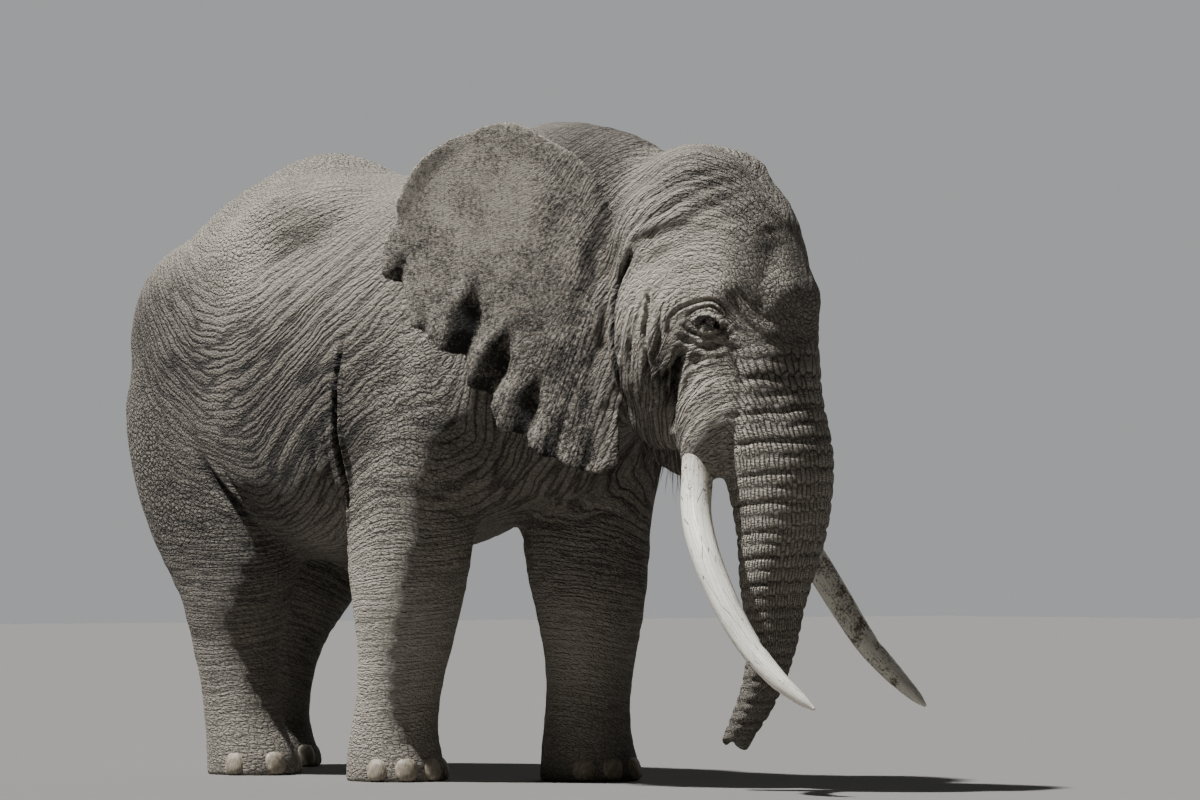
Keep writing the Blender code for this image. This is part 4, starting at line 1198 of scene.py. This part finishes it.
def skin_material():
    """Grey-brown hide: long pillows of skin between creases that follow the skin's own attribute,
    cobbles where creases cross, a grid of bars on the trunk, fine cells and pores."""
    nodes = Nodes("Elephant hide")
    maths, span, blend = nodes.maths, nodes.span, nodes.blend

    def pillow(gap, crease):
        """Height over a pillow of skin, from its distance to the nearest crease: steep sides and a
        slowly rounding back."""
        return blend(0.45, span(gap, 0.0, crease), span(gap, 0.0, 0.5))

    place = nodes.place()
    count, cross, depth = nodes.field("creases"), nodes.field("cross"), nodes.field("depth")
    grid, shown = nodes.field("bars", "Vector"), nodes.field("barred")
    # Creases waver over about 200 mm, by up to half of the gap between them.
    count = maths("ADD", nodes.noise(place, 5.0, 1.0), count)
    run = nodes.add("VectorMath", {0: CREASE_WAY, "Scale": count}, operation="SCALE")
    # Pillows are about 480 mm long and one crease gap wide, and over them lie finer ones, about
    # 45 mm long and half a gap wide.
    long = nodes.stretched(place, (2.1, 2.1, 2.1), run)
    gap = nodes.cracks(long)
    fine_gap = nodes.cracks(nodes.stretched(place, (9, 9, 9), long), 2.1)
    # Cobbles are about 30 mm across, and drawn out a little along the creases.
    short = nodes.add("VectorMath", {0: run, "Scale": 0.55}, operation="SCALE")
    cobble_gap = nodes.cracks(nodes.stretched(place, (31, 31, 31), short))
    # Cells are about 9 mm across, and the grain is about 6 mm.
    cell = nodes.cracks(place, 110.0)
    grain = nodes.noise(place, 170.0, 2.0, 0.6)
    bar_gap = nodes.cracks(grid, 1.0, 0.45, "2D")
    main = blend(cross, pillow(gap, 0.20), pillow(cobble_gap, 0.18))
    main = blend(shown, main, pillow(bar_gap, 0.20))
    # Creases are up to 24 mm deep and the finer ones 7.5 mm; cells stand up 2.4 mm.
    height = maths("MULTIPLY", main, 0.024)
    height = maths("MULTIPLY_ADD", pillow(fine_gap, 0.22), 0.0075, height)
    height = maths("MULTIPLY", height, depth)
    height = maths("MULTIPLY_ADD", span(cell, 0.0, 0.3), 0.0024, height)
    height = maths("MULTIPLY_ADD", grain, 0.0070, height)
    # Creases are painted darker, partly with dark damp dirt and partly as painted shade, since the bump
    # casts no shadow into them; dust lies on the pillows.
    patch = nodes.noise(place, 2.2, 6.0, 0.65)
    crease_dirt_and_shade = blend(cross, span(gap, 0.01, 0.13), span(cobble_gap, 0.01, 0.13))
    crease_dirt_and_shade = blend(depth, 1.0, blend(shown, crease_dirt_and_shade, span(bar_gap, 0.01, 0.15)))
    fine_crease_dirt_and_shade = blend(depth, 1.0, maths("MULTIPLY_ADD", span(fine_gap, 0.0, 0.12), 0.3, 0.7))
    relief = maths("MULTIPLY", crease_dirt_and_shade, fine_crease_dirt_and_shade)
    tone = maths("MULTIPLY_ADD", patch, 0.50, maths("MULTIPLY_ADD", relief, 0.50, -0.37))
    # Paler where the skin faces up, and broad patches of painted light and painted shade, partly dust and
    # damp skin.
    tone = maths("ADD", nodes.field("dust_and_painted_light"), tone)
    tone = maths("MULTIPLY_ADD", grain, 0.75, tone)
    # Painted shade in the hollows of the folds.
    tone = maths("MULTIPLY_ADD", nodes.field("painted_fold_shade"), -0.45, tone)
    # Painted shade and shadow between the lids, along the lid fold, in the ear grooves, by the jowl and in
    # the ear valleys.
    tone = maths("MULTIPLY_ADD", nodes.field("painted_shade"), -0.75, tone)
    # The ears are painted darker, as painted shade, and mottled, in specks of about 16 mm and clouds of
    # about 150 mm.
    speck = nodes.noise(place, 62.0, 4.0, 0.7)
    cloud = nodes.noise(place, 6.5, 3.0, 0.6)
    mottle_and_painted_shade = maths("MULTIPLY_ADD", speck, 2.20, maths("MULTIPLY_ADD", cloud, 1.20, -1.93))
    tone = maths("MULTIPLY_ADD", nodes.field("on_ear"), mottle_and_painted_shade, tone)
    stops = ((0.02, "#171412"), (0.30, "#4A453F"), (0.60, "#7F796F"), (0.95, "#A8A195"))
    nodes.set(Base_Color=nodes.ramp(tone, stops), Roughness=0.8, Specular_IOR_Level=0.35)
    nodes.set(Normal=nodes.bump(height))
    return nodes.material


def ivory_material(name, stain, clean_tip):
    """Ivory: streaked along its length, with brown stains in patches and specks, and fine cracks.
    The stains can give way to clean ivory near the tip."""
    nodes = Nodes(name)
    maths, span = nodes.maths, nodes.span
    run, place = nodes.field("run", "Vector"), nodes.place()
    # Streaks are about 7 mm wide and 170 mm long, patches 110 mm across and specks 12 mm.
    streak = nodes.noise(nodes.stretched(run, (150, 6, 1)), 1.0, 4.0)
    patch = nodes.noise(place, 9.0, 5.0, 0.65)
    speck = nodes.noise(place, 85.0, 3.0, 0.7)
    # Stains are heavier by the root, over 0.55 m, and can end over the last 0.2 m.
    along = nodes.add("SeparateXYZ", {0: run}, output="Y")
    root = span(along, 0.0, 0.55, 0.16, 0.0, "LINEAR")
    tip = span(along, 1.42, 1.58, 0.0, clean_tip, "LINEAR")
    level = maths("SUBTRACT", maths("MULTIPLY_ADD", patch, 0.55, root), tip)
    level = maths("ADD", maths("MULTIPLY_ADD", speck, 0.6, level), stain)
    stained = span(level, 0.74, 0.86)
    # Cracks run lengthwise, about 22 mm apart and 310 mm long.
    cracked = span(nodes.cracks(nodes.stretched(run, (46, 3.2, 1)), dimensions="2D"), 0.0, 0.035)
    tone = maths("MULTIPLY_ADD", streak, 0.5, maths("MULTIPLY", speck, 0.5))
    clean = nodes.ramp(tone, ((0.28, "#C6BCA6"), (0.42, "#E6E0D0"), (0.58, "#F8F4E9")))
    dirty = nodes.ramp(tone, ((0.30, "#2E251C"), (0.50, "#5B4C3B"), (0.65, "#857560")))
    colour = nodes.mix(cracked, linear("#595042"), nodes.mix(stained, clean, dirty))
    # Streaks stand up 0.7 mm, cracks are 0.8 mm deep and specks 1 mm.
    height = maths("MULTIPLY_ADD", streak, 0.0007, maths("MULTIPLY", cracked, 0.0008))
    height = maths("MULTIPLY_ADD", speck, 0.0010, height)
    nodes.set(Base_Color=colour, Roughness=0.42, IOR=1.54, Normal=nodes.bump(height))
    return nodes.material


def eye_material():
    """A wet dark eye: a black pupil, an amber-brown iris with fine spokes, and a dark white."""
    nodes = Nodes("Eye")
    gaze = nodes.field("gaze", "Vector")
    spokes = nodes.noise(nodes.stretched(gaze, (2.5, 9, 1)), 3.0, 3.0)
    iris = nodes.ramp(spokes, ((0.35, "#140A05"), (0.5, "#2F1B0C"), (0.68, "#553617")))
    white = nodes.ramp(spokes, ((0.35, "#1C1310"), (0.7, "#3B2A22")))
    # The angle from the middle of the pupil, in radians, tells one from the next.
    turn = nodes.add("SeparateXYZ", {0: gaze}, output="X")
    off_pupil = nodes.span(turn, 0.27, 0.31, kind="LINEAR")
    off_iris = nodes.span(turn, 0.78, 0.86, kind="LINEAR")
    colour = nodes.mix(off_iris, nodes.mix(off_pupil, linear("#070707"), iris), white)
    nodes.set(Base_Color=colour, Roughness=0.12, IOR=1.38, Coat_Weight=1.0, Coat_Roughness=0.03)
    return nodes.material


def horn_material():
    """Toenail horn: pale grey-brown, with fine upright ridges and dirt in their grooves."""
    nodes = Nodes("Toenail horn")
    # Ridges are about 4 mm wide and 33 mm long, and patches of dirt 25 mm across.
    ridge = nodes.noise(nodes.stretched(nodes.field("run", "Vector"), (260, 30, 1)), 1.0, 3.0)
    dirt = nodes.noise(nodes.place(), 40.0, 4.0)
    tone = nodes.maths("MULTIPLY_ADD", ridge, 0.6, nodes.maths("MULTIPLY", dirt, 0.4))
    colour = nodes.ramp(tone, ((0.32, "#4A4239"), (0.5, "#8C8272"), (0.66, "#B3A894")))
    relief = nodes.bump(nodes.maths("MULTIPLY", tone, 0.003))
    nodes.set(Base_Color=colour, Roughness=0.55, Normal=relief)
    return nodes.material


def hair_material():
    """Coarse black hair, a little browner here and there."""
    nodes = Nodes("Coarse black hair")
    tone = nodes.noise(nodes.place(), 60.0, 2.0)
    nodes.set(Base_Color=nodes.ramp(tone, ((0.3, "#0E0B09"), (0.7, "#2A231D"))), Roughness=0.38)
    return nodes.material


# The pieces.


def piece(thing, slot, *replaced):
    """Puts a piece into the row's frame, under the root, and hides the parts that it stands for. The slot
    is not used.
    """
    thing.data.transform(Matrix.Translation(PLACE))
    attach(thing, "root")
    if replaced:
        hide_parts(*replaced)
    return thing


def finished(thing, material, smooth=True):
    """Gives a piece its one material and its shading."""
    thing.data.materials.clear()
    thing.data.materials.append(material)
    thing.data.polygons.foreach_set("use_smooth", [smooth] * len(thing.data.polygons))
    return thing


def store(mesh, name, values):
    """A value, or three, at each point of a mesh, for its material."""
    values = np.asarray(values, np.float32)
    kind, part = ("FLOAT", "value") if values.ndim == 1 else ("FLOAT_VECTOR", "vector")
    mesh.attributes.new(name, kind, "POINT").data.foreach_set(part, values.ravel())


def eye_distance(points):
    """How far each point is from the middle of the nearer eye."""
    at = to_head(points)
    return np.minimum(*(np.linalg.norm(at - EYE * (1, side, 1), axis=1) for side in (-1, 1)))


# Broad patches painted paler and darker, partly dust and damp skin and partly painted light and painted
# shade: painted light on the temple, cheek, trunk, forelegs and rump, painted shade and shadow on the
# throat, on the chest under the ear, and on the shoulder, flank, thighs and nape. Each: frame, ahead,
# above, reach and how pale.
DUST_AND_PAINTED_LIGHT_PATCHES = (
    ("head", -0.16, 0.24, 0.26, 0.76),
    ("head", -0.35, -0.05, 0.22, 0.26),
    ("head", 0.00, -0.42, 0.22, 0.30),
    ("head", 0.05, 0.60, 0.30, -0.24),
    ("head", -0.50, -0.62, 0.25, -0.22),
    ("body", 0.30, 1.75, 0.30, -0.20),
    ("body", -0.45, 2.00, 0.30, -0.12),
    ("body", -1.60, 2.75, 0.34, 0.34),
    ("body", -1.95, 2.25, 0.45, -0.25),
    ("body", -1.10, 1.80, 0.65, -0.28),
    ("body", -2.00, 1.40, 0.50, -0.18),
    ("body", -2.50, 2.30, 0.35, -0.14),
    ("body", 0.85, 3.15, 0.50, -0.46),
    ("body", -0.45, 0.80, 0.50, 0.56),
    ("body", 0.22, 0.70, 0.30, 0.30),
    ("head", 0.15, -0.90, 0.55, 0.34),
)


def dust_and_painted_light_on(points, normals):
    """How much paler or darker the skin is painted: paler where it faces up, in broad patches that are
    partly dust and damp skin and partly painted light and painted shade, and on the ears paler towards the
    top.
    """
    in_head = head_share(points)
    frames = {"head": (to_head(points), in_head), "body": (points, 1 - in_head)}
    dust_and_painted_light = 0.14 * smoothstep(0.0, 0.75, normals[:, 2]) * smoothstep(1.0, 2.2, points[:, 2])
    for place, ahead, above, reach, amount in DUST_AND_PAINTED_LIGHT_PATCHES:
        where, share = frames[place]
        far = np.hypot(where[:, 0] - ahead, where[:, 2] - above)
        dust_and_painted_light += amount * share * bump_at(far, 0, reach)
    for name in EARS:
        share, _, height, _ = ear_share(points, name)
        dust_and_painted_light += share * (0.22 * smoothstep(2.2, 3.0, height) - dust_and_painted_light)
    return dust_and_painted_light


def painted_shade_at(points):
    """How much painted shade darkens the skin: between the lids, where the skin is also wet, along the fold
    of the upper lid, in the groove before each ear's root, between the jowl and the tusk's sheath, and in
    the valleys of the ears."""
    at = to_head(points)
    near = eye_distance(points) < 0.12
    painted_shade = np.zeros(len(points))
    painted_shade[near] = bump_at(path_distance(at[near][:, [0, 2]], EYE_SLIT), 0, 0.020)
    painted_shade[near] += 0.45 * bump_at(path_distance(at[near][:, [0, 2]], LID_FOLD), 0, 0.007)
    aside = np.flatnonzero((np.abs(at[:, 1]) > 0.24) & (at[:, 0] > -0.70) & (at[:, 0] < 0.10))
    flat = at[aside][:, [0, 2]]
    painted_shade[aside] += 0.75 * bump_at(path_distance(flat, EAR_GROOVE), 0, 0.016)
    jowl = np.hypot((flat[:, 0] + 0.20) / 0.07, (flat[:, 1] + 0.34) / 0.20)
    painted_shade[aside] += 0.50 * bump_at(jowl, 0, 1)
    for name in EARS:
        share, across, height, radius = ear_share(points, name)
        for middle, depth, start in EAR_VALLEYS:
            inside = smoothstep(start, start + 0.40, radius) * smoothstep(2.95, 2.45, height)
            across_it = bump_at(ear_bend(across, height), middle + 0.014, 0.008 + 0.012 * inside)
            painted_shade = np.maximum(painted_shade, 9.0 * depth * share * inside**0.7 * across_it)
    return painted_shade


def broad_rise(points, count, depth, shown):
    """How far out broad pillows stand, each three creases wide: a smooth rise from the borders of
    random cells drawn out along the creases, fading at the soles, on the trunk and at the eyes."""
    broad = cell_gap(points * 1.7 + np.outer(count / 3, CREASE_WAY), 31)
    rise = 0.006 * depth * (1 - shown) * (smoothstep(0, 0.45, broad) - 0.6)
    return rise * smoothstep(0.02, 0.15, points[:, 2]) * smoothstep(0.10, 0.16, eye_distance(points))


def add_skin():
    """The one skin, with what its material reads stored at its points. Gives its points and
    normals."""
    points, faces = finer_near_eyes(*skin_surface())
    add_nails(nail_places(points))
    points, push = folded(points, faces)
    keep = 0.15 + 0.55 * smoothstep(-0.75, -0.6, to_head(points)[:, 0])
    keep = np.maximum(keep, 0.6 * smoothstep(0.003, 0.012, np.abs(push)))
    keep = np.maximum(keep, 0.97 * smoothstep(0.16, 0.12, eye_distance(points)))
    thing = thinned(points, faces, keep, np.clip(-push / 0.03, 0, 1))
    points, faces = arrays(thing.data)
    normals = normals_of(points, faces)
    edges = edges_of(faces)
    target, cross, depth = crease_targets(points, normals)
    count = crease_count(points, edges, relaxed(target, edges, 12))
    bars, rings, shown = trunk_grid(points)
    moved = points + broad_rise(points, count, depth, shown)[:, None] * normals
    thing.data.vertices.foreach_set("co", moved.astype(np.float32).ravel())
    store(thing.data, "creases", count)
    store(thing.data, "cross", cross)
    store(thing.data, "depth", depth)
    store(thing.data, "bars", np.stack([bars, rings, 0 * bars], 1))
    store(thing.data, "barred", shown)
    store(thing.data, "dust_and_painted_light", dust_and_painted_light_on(points, normals))
    store(thing.data, "painted_shade", painted_shade_at(points))
    store(thing.data, "on_ear", on_ears(points))
    finished(thing, skin_material())
    legs = [part + name for part in ("upper_leg_", "lower_leg_", "foot_") for name in STANCE]
    trunk = ["trunk_upper", "trunk_middle", "trunk_tip"]
    flesh_nodes = ["body", "neck", "head", "lower_jaw", *trunk, "tail", "ear_left", "ear_right"]
    piece(thing, "skin", *flesh_nodes, *legs)
    return points, normals


def chip_depth(along, turn):
    """How deep a tusk's chips are at each place along and round it, as a share of its radius: a
    bell at each chip."""
    total = 0
    for place, where, depth, size in TUSK_CHIPS:
        off = (turn - where + math.pi) % (2 * math.pi) - math.pi
        total = total + depth * bump_at(np.hypot((along - place) / size, off * 0.07 / size), 0, 1)
    return total


def add_tusk(side, name, stain, clean_tip):
    """A tusk, out from inside its sheath to a worn, rounded tip: slightly fluted along its length,
    uneven, and chipped in a few places."""
    path = [(x, side * y, z, TUSK_GIRTH * girth) for x, y, z, girth in TUSK]
    rings = tube(path, 96, 320)
    middle = rings.mean(axis=1, keepdims=True)
    turn = circle(96)[None, :, None]
    steps = np.linalg.norm(np.diff(middle[:, 0], axis=0), axis=1)
    along = np.concatenate([[0], np.cumsum(steps)])[:, None, None]
    flat = rings.reshape(-1, 3)
    uneven = (0.012 * noise(flat, 0.11, 41) + 0.008 * noise(flat, 0.045, 42)).reshape(320, 96, 1)
    flutes = 0.010 * np.sin(7 * turn + 2.1 * along)
    flutes = flutes * smoothstep(0.1, 0.5, along) * smoothstep(1.6, 1.2, along)
    rings = middle + (rings - middle) * (1 + uneven + flutes - chip_depth(along, turn))
    points, faces = capped(rings)
    run = np.concatenate([turn * 0.075 + 0 * along, along + 0 * turn, 0 * along + 0 * turn], axis=2)
    run = np.concatenate([run[:1], run, run[-1:]]).reshape(-1, 3)
    thing = mesh_object("Tusk_" + name, from_head(points), faces)
    store(thing.data, "run", run)
    finished(cleaned(thing), ivory_material("Ivory " + name, stain, clean_tip))
    piece(thing, "ivory", "tusk_" + name)


def add_eye(side, name):
    """An eyeball with a bulging cornea over its iris."""
    turn = np.linspace(0.001, math.pi - 0.001, 60)[:, None]
    angle = circle(72)
    radius = EYE_RADIUS * (1 + 0.10 * bump_at(turn, 0, 0.42))
    way = unit(np.array([0.18, side, -0.06]))
    aside = unit(np.cross(way, (0, 0, 1.0)))
    up = np.cross(aside, way)
    ring = np.cos(angle)[:, None] * aside + np.sin(angle)[:, None] * up
    rings = radius[..., None] * (np.cos(turn)[..., None] * way + np.sin(turn)[..., None] * ring)
    points, faces = capped(rings + EYE * (1, side, 1))
    gaze = np.stack([turn + 0 * angle, angle / math.pi + 0 * turn, 0 * turn * angle], axis=2)
    gaze = np.concatenate([gaze[:1], gaze, gaze[-1:]]).reshape(-1, 3)
    thing = mesh_object("Eye_" + name, from_head(points), faces)
    store(thing.data, "gaze", gaze)
    finished(cleaned(thing, 1e-6), eye_material())
    piece(thing, "eye", "eye_" + name)


def nail_places(points):
    """Where each toenail leaves the skin and which way it faces, by foot."""
    low = points[np.abs(points[:, 2] - NAIL_HEIGHT) < 0.02]
    found = {}
    for name, (sole_x, sole_y, _) in STANCE.items():
        middle = np.array([sole_x + 0.02, sole_y, NAIL_HEIGHT])
        flat = low[:, :2] - middle[:2]
        turn, far = np.arctan2(flat[:, 1], flat[:, 0]), np.hypot(*flat.T)
        toes = TOES[name[:4]]
        found[name] = []
        for toe in range(toes):
            angle = math.radians(-54 + 108 * toe / (toes - 1)) + math.copysign(0.12, sole_y)
            near = (np.abs(turn - angle) < 0.07) & (far < 0.4)
            way = np.array([math.cos(angle), math.sin(angle), 0.0])
            found[name].append((middle + far[near].mean() * way, way))
    return found


def nail_form(at, way, size):
    """A toenail: a domed plate with a rounded upper edge, worn flat below, set into the skin, and
    for each point its place on the plate."""
    share = np.linspace(0, 1, 22)[:, None]
    c, s = np.cos(circle(56)), np.sin(circle(56))
    wide = share * (np.sign(c) * np.abs(c) ** 0.8 * 0.058 * size)
    tall = share * (np.sign(s) * np.abs(s) ** 0.8 * np.where(s > 0, 0.055, 0.058) * size)
    dome = 0.026 * np.clip(1 - share**2.6, 0, 1) ** 0.55
    aside = np.array([-way[1], way[0], 0])
    up = np.array([0, 0, 1.0]) - 0.25 * way
    bow = 0.5 * wide**2 / 0.16
    rings = [out[..., None] * way + wide[..., None] * aside + tall[..., None] * up
             for out in (dome - bow - 0.004, -0.03 - bow)]
    rings = np.concatenate([rings[0], rings[1][::-1]]) + at
    rings[..., 2] = np.maximum(rings[..., 2], 0.002)
    run = np.stack([wide, tall, 0 * tall], axis=2)
    run = np.concatenate([run, run[::-1]]).reshape(-1, 3)
    return rings.reshape(-1, 3), grid_faces(len(rings), 56), run


def add_nails(places):
    """The toenails of each foot as one piece, the middle ones a little larger."""
    for name, toes in places.items():
        forms = []
        for toe, (at, way) in enumerate(toes):
            size = 1.06 - 0.10 * abs(toe - (len(toes) - 1) / 2) / len(toes)
            forms.append(nail_form(at, way, size))
        points, faces = joined([form[:2] for form in forms])
        thing = mesh_object("Toenails_" + name, points, faces)
        store(thing.data, "run", np.vstack([form[2] for form in forms]))
        finished(cleaned(thing), horn_material())
        piece(thing, "nail", *("nail_%s_%d" % (name, toe + 1) for toe in range(len(toes))))


def add_hairs(name, roots, ways, lengths, radius, unwrap, droop, *replaced):
    """Hairs as thin tapered three-sided tubes that leave their roots along these ways and droop
    with the square of the way along them. Each hair's patch of the unwrap lies at its root's
    place."""
    steps, count = 9, len(roots)
    along = np.linspace(0, 1, steps)[None, :, None]
    lengths = lengths[:, None, None]
    bend = rng.normal(0, 0.06, (count, 1, 3)) + np.array([0, 0, -droop])
    middle = roots[:, None] + lengths * (along * ways[:, None] + along**2 * bend)
    run = unit(np.gradient(middle, axis=1))
    across = unit(np.cross(run, unit(rng.normal(0, 1, (count, 1, 3)))))
    other = np.cross(run, across)
    turn = circle(3)[None, None, :, None]
    thick = radius * (1 - 0.85 * along**2)[..., None]
    ring = np.cos(turn) * across[:, :, None] + np.sin(turn) * other[:, :, None]
    points = middle[:, :, None] + thick * ring
    quads = grid_faces(steps, 3)
    faces = (np.arange(count)[:, None, None] * steps * 3 + quads).reshape(-1, 4)
    thing = mesh_object(name, points.reshape(-1, 3), faces)
    side, step = quads[:, 0] % 3, quads[:, 0] // 3
    u = np.stack([side, side + 1, side + 1, side], 1) / 3
    v = np.stack([step, step, step + 1, step + 1], 1) / (steps - 1)
    patch = unwrap[:, None, None] + HAIR_PATCH * np.stack([u, v], axis=2)[None]
    layer = thing.data.uv_layers.new(name="OFBake")
    layer.data.foreach_set("uv", np.clip(patch, 0, 1).astype(np.float32).ravel())
    piece(finished(thing, hair_material()), "hair", *replaced)


def add_tail_hair():
    """Two rows of wiry hair, before and behind the last of the tail, and a brush at its end."""
    rows = smooth_rows(TAIL, 400)
    count = 620
    place = rng.uniform(0.76, 1.0, count) ** 0.8
    at = rows[(place * 399).astype(int)]
    side = np.where(rng.random(count) < 0.5, 0.0, math.pi) + rng.normal(0, 0.5, count)
    outward = np.stack([np.cos(side), np.sin(side), 0 * side], 1)
    roots = at[:, :3] + outward * at[:, 3:] * 0.9
    ways = unit(outward * 0.16 + (0, 0, -1.0) + rng.normal(0, 0.05, (count, 3)))
    lengths = rng.uniform(0.16, 0.34, count)
    unwrap = np.stack([side % (2 * math.pi) / (2 * math.pi), place], 1)
    add_hairs("Tail_hair", roots, ways, lengths, 0.0016, unwrap, 0.10, "tail_tuft")


def add_chin_hair(points, normals):
    """Stiff hairs under the chin and lower lip."""
    at = to_head(points)
    chin = (at[:, 0] > -0.56) & (at[:, 0] < -0.22) & (np.abs(at[:, 1]) < 0.17)
    chin = chin & (at[:, 2] > -0.90) & (at[:, 2] < -0.50)
    chosen = rng.choice(np.flatnonzero(chin), 190)
    count = len(chosen)
    ways = unit(0.7 * normals[chosen] + (0.10, 0, -0.7) + rng.normal(0, 0.14, (count, 3)))
    unwrap = np.stack([0.5 + at[chosen, 1], 1.0 + at[chosen, 2]], 1)
    lengths = rng.uniform(0.05, 0.13, count)
    add_hairs("Chin_hair", points[chosen], ways, lengths, 0.0011, unwrap, 0.20)


def add_eyelashes(points):
    """The lashes of the upper lids, which point out, forwards and down."""
    at = to_head(points)
    near = np.flatnonzero(eye_distance(points) < 0.10)
    near = near[path_distance(at[near][:, [0, 2]], UPPER_LID) < 0.006]
    chosen = rng.choice(near, 150)
    count = len(chosen)
    side = np.where(at[chosen, 1] > 0, 1.0, -1.0)
    down = np.stack([0.35 + 0 * side, side, -0.55 + 0 * side], 1)
    ways = unit(down @ TURN.T + rng.normal(0, 0.10, (count, 3)))
    unwrap = np.stack([0.5 + 2 * at[chosen, 0] * side, 0.5 + 2 * at[chosen, 2]], 1)
    lengths = rng.uniform(0.035, 0.065, count)
    add_hairs("Eyelashes", points[chosen], ways, lengths, 0.0008, unwrap, 0.15)


def add_floor():
    """A plain pale floor."""
    far = 60.0
    corners = np.array([(-far, -far, 0), (far, -far, 0), (far, far, 0), (-far, far, 0)])
    floor = mesh_object("Floor", corners, np.array([[0, 1, 2, 3]]))
    nodes = Nodes("Plain floor")
    nodes.set(Base_Color=linear("#706E6B"), Roughness=0.9)
    finished(floor, nodes.material, False)


def add_backdrop():
    """A plain pale backdrop that gives little light of its own."""
    world = bpy.data.worlds.new("Studio")
    bpy.context.scene.world = world
    world.use_nodes = True
    nodes, links = world.node_tree.nodes, world.node_tree.links
    seen = nodes.new("ShaderNodeLightPath")
    level = nodes.new("ShaderNodeMapRange")
    level.inputs["To Min"].default_value = 0.022
    level.inputs["To Max"].default_value = 0.46
    nodes["Background"].inputs["Color"].default_value = linear("#E9EAEC")
    links.new(seen.outputs["Is Camera Ray"], level.inputs["Value"])
    links.new(level.outputs[0], nodes["Background"].inputs["Strength"])


def add_sun(name, way, height, power, angle):
    """A far light, from this direction over the floor and this many degrees above it, as wide as
    this angle."""
    lamp = bpy.data.lights.new(name, "SUN")
    lamp.angle = math.radians(angle)
    lamp.energy = power
    made = placed(name, lamp)
    flat = unit(np.array(way)) * math.cos(math.radians(height))
    towards = Vector((*flat.tolist(), math.sin(math.radians(height))))
    made.rotation_euler = towards.to_track_quat("Z", "Y").to_euler()


def add_panel(name, at, size, power):
    """A round soft light that faces the animal's middle."""
    lamp = bpy.data.lights.new(name, "AREA")
    lamp.shape = "DISK"
    lamp.size = size
    lamp.energy = power
    made = placed(name, lamp)
    turn = (Vector((-0.3, 0.1, 1.6)) - Vector(at)).to_track_quat("-Z", "Y")
    made.matrix_world = Matrix.Translation(at) @ turn.to_matrix().to_4x4()


def add_camera():
    """A long lens, low and from ahead on the right, that looks up a little."""
    lens = bpy.data.cameras.new("Camera")
    lens.lens = LENS
    lens.sensor_width = 36
    lens.clip_end = 300
    made = placed("Camera", lens)
    made.location = Vector(CAMERA_PLACE) + Vector(PLACE)
    made.rotation_euler = (math.radians(90 + CAMERA_RISE), 0, math.radians(CAMERA_TURN))
    bpy.context.scene.camera = made


add_floor()
add_backdrop()
add_sun("Key", (-0.45, -0.89), 64, 8.4, 2.5)
add_sun("Far fill", (-0.50, 0.86), 30, 0.35, 60)
add_panel("Fill", (4.0, -18.0, 6.0), 8.0, 20)
add_camera()
skin_points, skin_normals = add_skin()
add_tusk(-1, "right", 0.05, 0.0)
add_tusk(1, "left", 0.19, 0.5)
add_eye(-1, "right")
add_eye(1, "left")
add_tail_hair()
add_chin_hair(skin_points, skin_normals)
add_eyelashes(skin_points)
